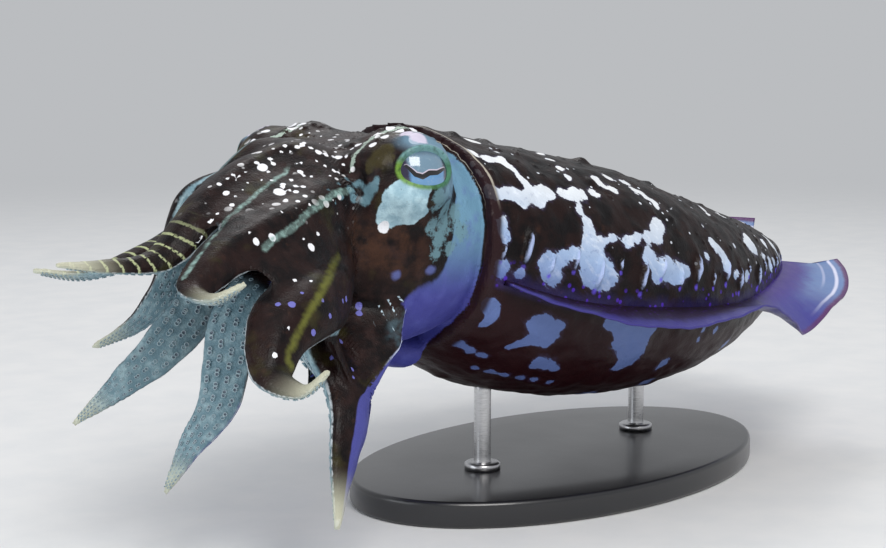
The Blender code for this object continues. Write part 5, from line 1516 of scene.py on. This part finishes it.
for name, lines in arms.items():
    cups = []
    at = SUCKERS_FROM
    number = 0
    while at < SUCKERS_TO:
        middle, ahead, oral, side, (half_width, _, face) = arm_at(lines, at)
        radius = max(SUCKER_LEAST, SUCKER_SHARE_OF_ARM * half_width * (0.85 + 0.25 * math.sin(math.pi * at)))
        for row, place_across in enumerate(SUCKER_ROWS):
            shift = ahead * radius * (1.2 if (row + number) % 2 else 0.0)
            height = face * (1 - place_across**2) ** (ORAL_FLATNESS / 2) * 0.97
            foot = middle + shift + side * place_across * half_width + oral * height
            lean = unit(oral + side * place_across * 0.35)
            across = unit(np.cross(ahead, lean))
            turn = turns(SUCKER_SIDES)[:, None]
            ring = (unit(np.cross(lean, across)) * np.cos(turn) + across * np.sin(turn)) * radius
            cups.append(tube([foot + ring * wide + lean * tall * radius for wide, tall in SUCKER_PROFILE]))
        at += SUCKER_SPACING * radius / lines[2]
        number += 1
    suckers = piece("suckers_" + name[4:], *joined(cups))
    depth = np.tile(np.r_[np.repeat(CUP_DEPTHS, SUCKER_SIDES), -1.0, 1.0], len(cups))
    mark(suckers.data, {"depth": depth})
    suckers.data.materials.append(sucker_finish)
    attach(suckers, "root")


# The mouth is a ring of soft, deeply pleated lips in the middle of the arms.
MOUTH_RADIUS = 0.0135
MOUTH_DEPTH = 0.012
LIP_PLEATS = 22
LIP_SIDES = 264
LIP_RINGS = 60
around = turns(LIP_SIDES)
pleats = np.sin(around * LIP_PLEATS + 0.5 * np.sin(around * 3))
rings = []
for share in np.linspace(0, 1, LIP_RINGS):
    swing = math.radians(72) * share
    reach = MOUTH_RADIUS * math.cos(swing) * (0.97 + 0.025 * pleats * math.sin(math.pi * share) ** 0.5)
    along = -HEAD_LENGTH - 0.0003 - MOUTH_DEPTH * math.sin(swing) * 0.97 + 0.0003 * pleats * share
    rings.append(np.stack([along + 0 * around, reach * np.cos(around), reach * np.sin(around)], axis=-1))
rings.append(rings[-1] * (1, 0.7, 0.7) + (0.0035, 0, 0))
lips = piece("lips", *tube(rings))
lips_finish, shader, place = finish("lips", 0.30, 0.6)
cloud = noise(place, 300, 4)
flesh = cloud.past(-0.2, 0.25).between((0.26, 0.20, 0.25), (0.50, 0.44, 0.46))
wire(shader, "Base Color", flesh)
wire(shader, "Roughness", cloud * 0.2 + 0.32)
wire(shader, "Normal", raised_by(cloud, 0.0004, 0.5))
lips.data.materials.append(lips_finish)
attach(lips, "root")
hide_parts("mouth")

# The beak's tip is dark, polished horn that stands in the lips. It is the CAD model's own piece, given a
# horn finish.
beak_finish, shader, place = finish("beak_horn", 0.24, 0.5)
bands = noise(place, 900, 4)
horn = bands.past(-0.2, 0.3).between((0.012, 0.007, 0.005), (0.075, 0.035, 0.018))
wire(shader, "Base Color", horn)
wire(shader, "Roughness", bands * 0.2 + 0.26)
wire(shader, "Normal", raised_by(bands, 0.0002, 0.4))
nodes["beak"].data.materials.clear()
nodes["beak"].data.materials.append(beak_finish)


# The display stand is an oval plate lacquered black, with a rounded edge, and two ground steel rods. Each rod
# is screwed into a flat collar on the plate and ends just inside the belly's skin.
BASE_LENGTH = 0.250
BASE_WIDTH = 0.150
BASE_THICKNESS = 0.012
BASE_EDGE_ROUND = 0.0022
ROD_RADIUS = 0.0040
COLLAR_RADIUS = 0.0085
COLLAR_HEIGHT = 0.0035
ROD_PLACES = {"stand_rod_front": 0.055, "stand_rod_rear": 0.175}


def turned(name, rings, material):
    """A rigid piece of the stand, lofted up through level rings of (half length, half width, height, x)."""
    around = turns(128)
    rows = []
    for half_length, half_width, height, x in rings:
        across = half_width * np.sin(around)
        rows.append(np.stack([x + half_length * np.cos(around), across, height + 0 * around], axis=-1))
    made = piece(name, *tube(rows), Matrix())
    made.data.materials.append(material)
    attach(made, "root")
    return made


plate_finish, shader, place = finish("black_lacquer", 0.30, 0.5, 0.5)
dust = noise(place, 2200, 2, 0.7)
sheen = noise(place, 14, 3)
lacquer = dust.past(0.12, 0.30).between((0.011, 0.011, 0.013), (0.045, 0.045, 0.050))
wire(shader, "Base Color", lacquer)
wire(shader, "Roughness", sheen * 0.20 + dust * 0.08 + 0.34)
wire(shader, "Normal", raised_by(noise(place, 160, 3) + dust * 0.2, 0.0002, 0.15))
steel_finish, shader, place = finish("ground_steel", 0.28)
shader.inputs["Metallic"].default_value = 1.0
turning = place.node("Mapping", {}, {"Vector": place, "Scale": (1, 1, 14)})
marks = noise(turning, 260, 3, 0.6)
wire(shader, "Base Color", marks.past(-0.2, 0.2).between((0.50, 0.50, 0.51), (0.66, 0.66, 0.67)))
wire(shader, "Roughness", marks * 0.18 + 0.30)
wire(shader, "Normal", raised_by(marks, 0.0001, 0.2))

corner = np.radians(np.linspace(0, 90, 7))
low_edge = [(BASE_EDGE_ROUND * (1 - math.sin(a)), BASE_EDGE_ROUND * (1 - math.cos(a))) for a in corner]
high_edge = [(inset, BASE_THICKNESS - height) for inset, height in reversed(low_edge)]
plate_rings = []
for inset, height in low_edge + high_edge:
    plate_rings.append((BASE_LENGTH / 2 - inset, BASE_WIDTH / 2 - inset, height, 0.0))
for share in (0.75, 0.45, 0.15):
    plate_rings.append((BASE_LENGTH / 2 * share, BASE_WIDTH / 2 * share, BASE_THICKNESS, 0.0))
plate = turned("display_plate", plate_rings, plate_finish)
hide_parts("stand_base")
for node_name, along in ROD_PLACES.items():
    foot = OVER_STAND @ Vector((along, 0, 0))
    belly = OVER_STAND @ Vector(mantle_point(along / MANTLE_LENGTH, 3 * np.pi / 2))
    collar_top = BASE_THICKNESS + COLLAR_HEIGHT
    rod_rings = []
    for inset, share in ((0.0, 0.0), (0.0, 0.8), (0.2, 1.0), (0.8, 1.0)):
        radius = COLLAR_RADIUS - (COLLAR_RADIUS - ROD_RADIUS) * inset
        rod_rings.append((radius, radius, BASE_THICKNESS + COLLAR_HEIGHT * share, foot.x))
    rod_rings.append((ROD_RADIUS * 1.02, ROD_RADIUS * 1.02, collar_top, foot.x))
    for height in np.linspace(collar_top + 0.0003, belly.z + 0.0012, 12):
        rod_rings.append((ROD_RADIUS, ROD_RADIUS, height, foot.x))
    rod = turned("steel_rod_" + node_name[10:], rod_rings, steel_finish)
    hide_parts(node_name)


# The floor is plain and pale and fades into the pale room far off. The light is one large soft box above and
# two weaker ones beside it.
ROOM_COLOUR = (0.80, 0.82, 0.85)
ROOM_STRENGTH = 0.62
FLOOR_REACH = 9
corners = [(FLOOR_REACH * x, FLOOR_REACH * y, 0) for x, y in ((-1, -1), (1, -1), (1, 1), (-1, 1))]
floor = piece("floor", corners, [(0, 1, 2, 3)], Matrix())
floor_finish, shader, place = finish("floor", 0.75, 0.0, 0.2)
paint = noise(place, 30, 4)
near_paint = paint.past(-0.3, 0.3).between((0.74, 0.75, 0.76), (0.80, 0.80, 0.80))
wire(shader, "Base Color", near_paint)
distance = place.node("VectorMath", {"operation": "LENGTH"}, {0: place}, 1)
glow = place.node("Emission", {}, {"Color": (*ROOM_COLOUR, 1), "Strength": ROOM_STRENGTH})
painted_floor = Socket(place.tree, shader.outputs[0])
faded = place.node("MixShader", {}, {0: distance.past(0.6, 2.4), 1: painted_floor, 2: glow})
place.tree.links.new(faded.socket, place.tree.nodes["Material Output"].inputs["Surface"])
floor.data.materials.append(floor_finish)


def soft_box(name, at, size, power, colour):
    light = bpy.data.lights.new(name, "AREA")
    light.shape = "RECTANGLE"
    light.size, light.size_y = size
    light.energy = power
    light.color = colour
    obj = bpy.data.objects.new(name, light)
    bpy.context.scene.collection.objects.link(obj)
    obj.location = at
    obj.rotation_euler = (Vector((0, 0, 0.12)) - Vector(at)).to_track_quat("-Z", "Y").to_euler()


soft_box("key", (-0.8, -1.2, 1.5), (1.0, 1.0), 26, (1.0, 0.98, 0.95))
soft_box("fill", (-1.6, 0.5, 0.6), (0.9, 0.9), 5, (0.9, 0.95, 1.0))
soft_box("rim", (0.9, 1.0, 1.6), (0.8, 0.8), 8, (1.0, 1.0, 1.0))
world = bpy.data.worlds.new("studio")
bpy.context.scene.world = world
world.use_nodes = True
world.node_tree.nodes["Background"].inputs["Color"].default_value = (*ROOM_COLOUR, 1)
world.node_tree.nodes["Background"].inputs["Strength"].default_value = ROOM_STRENGTH
bpy.context.scene.view_settings.view_transform = "Standard"
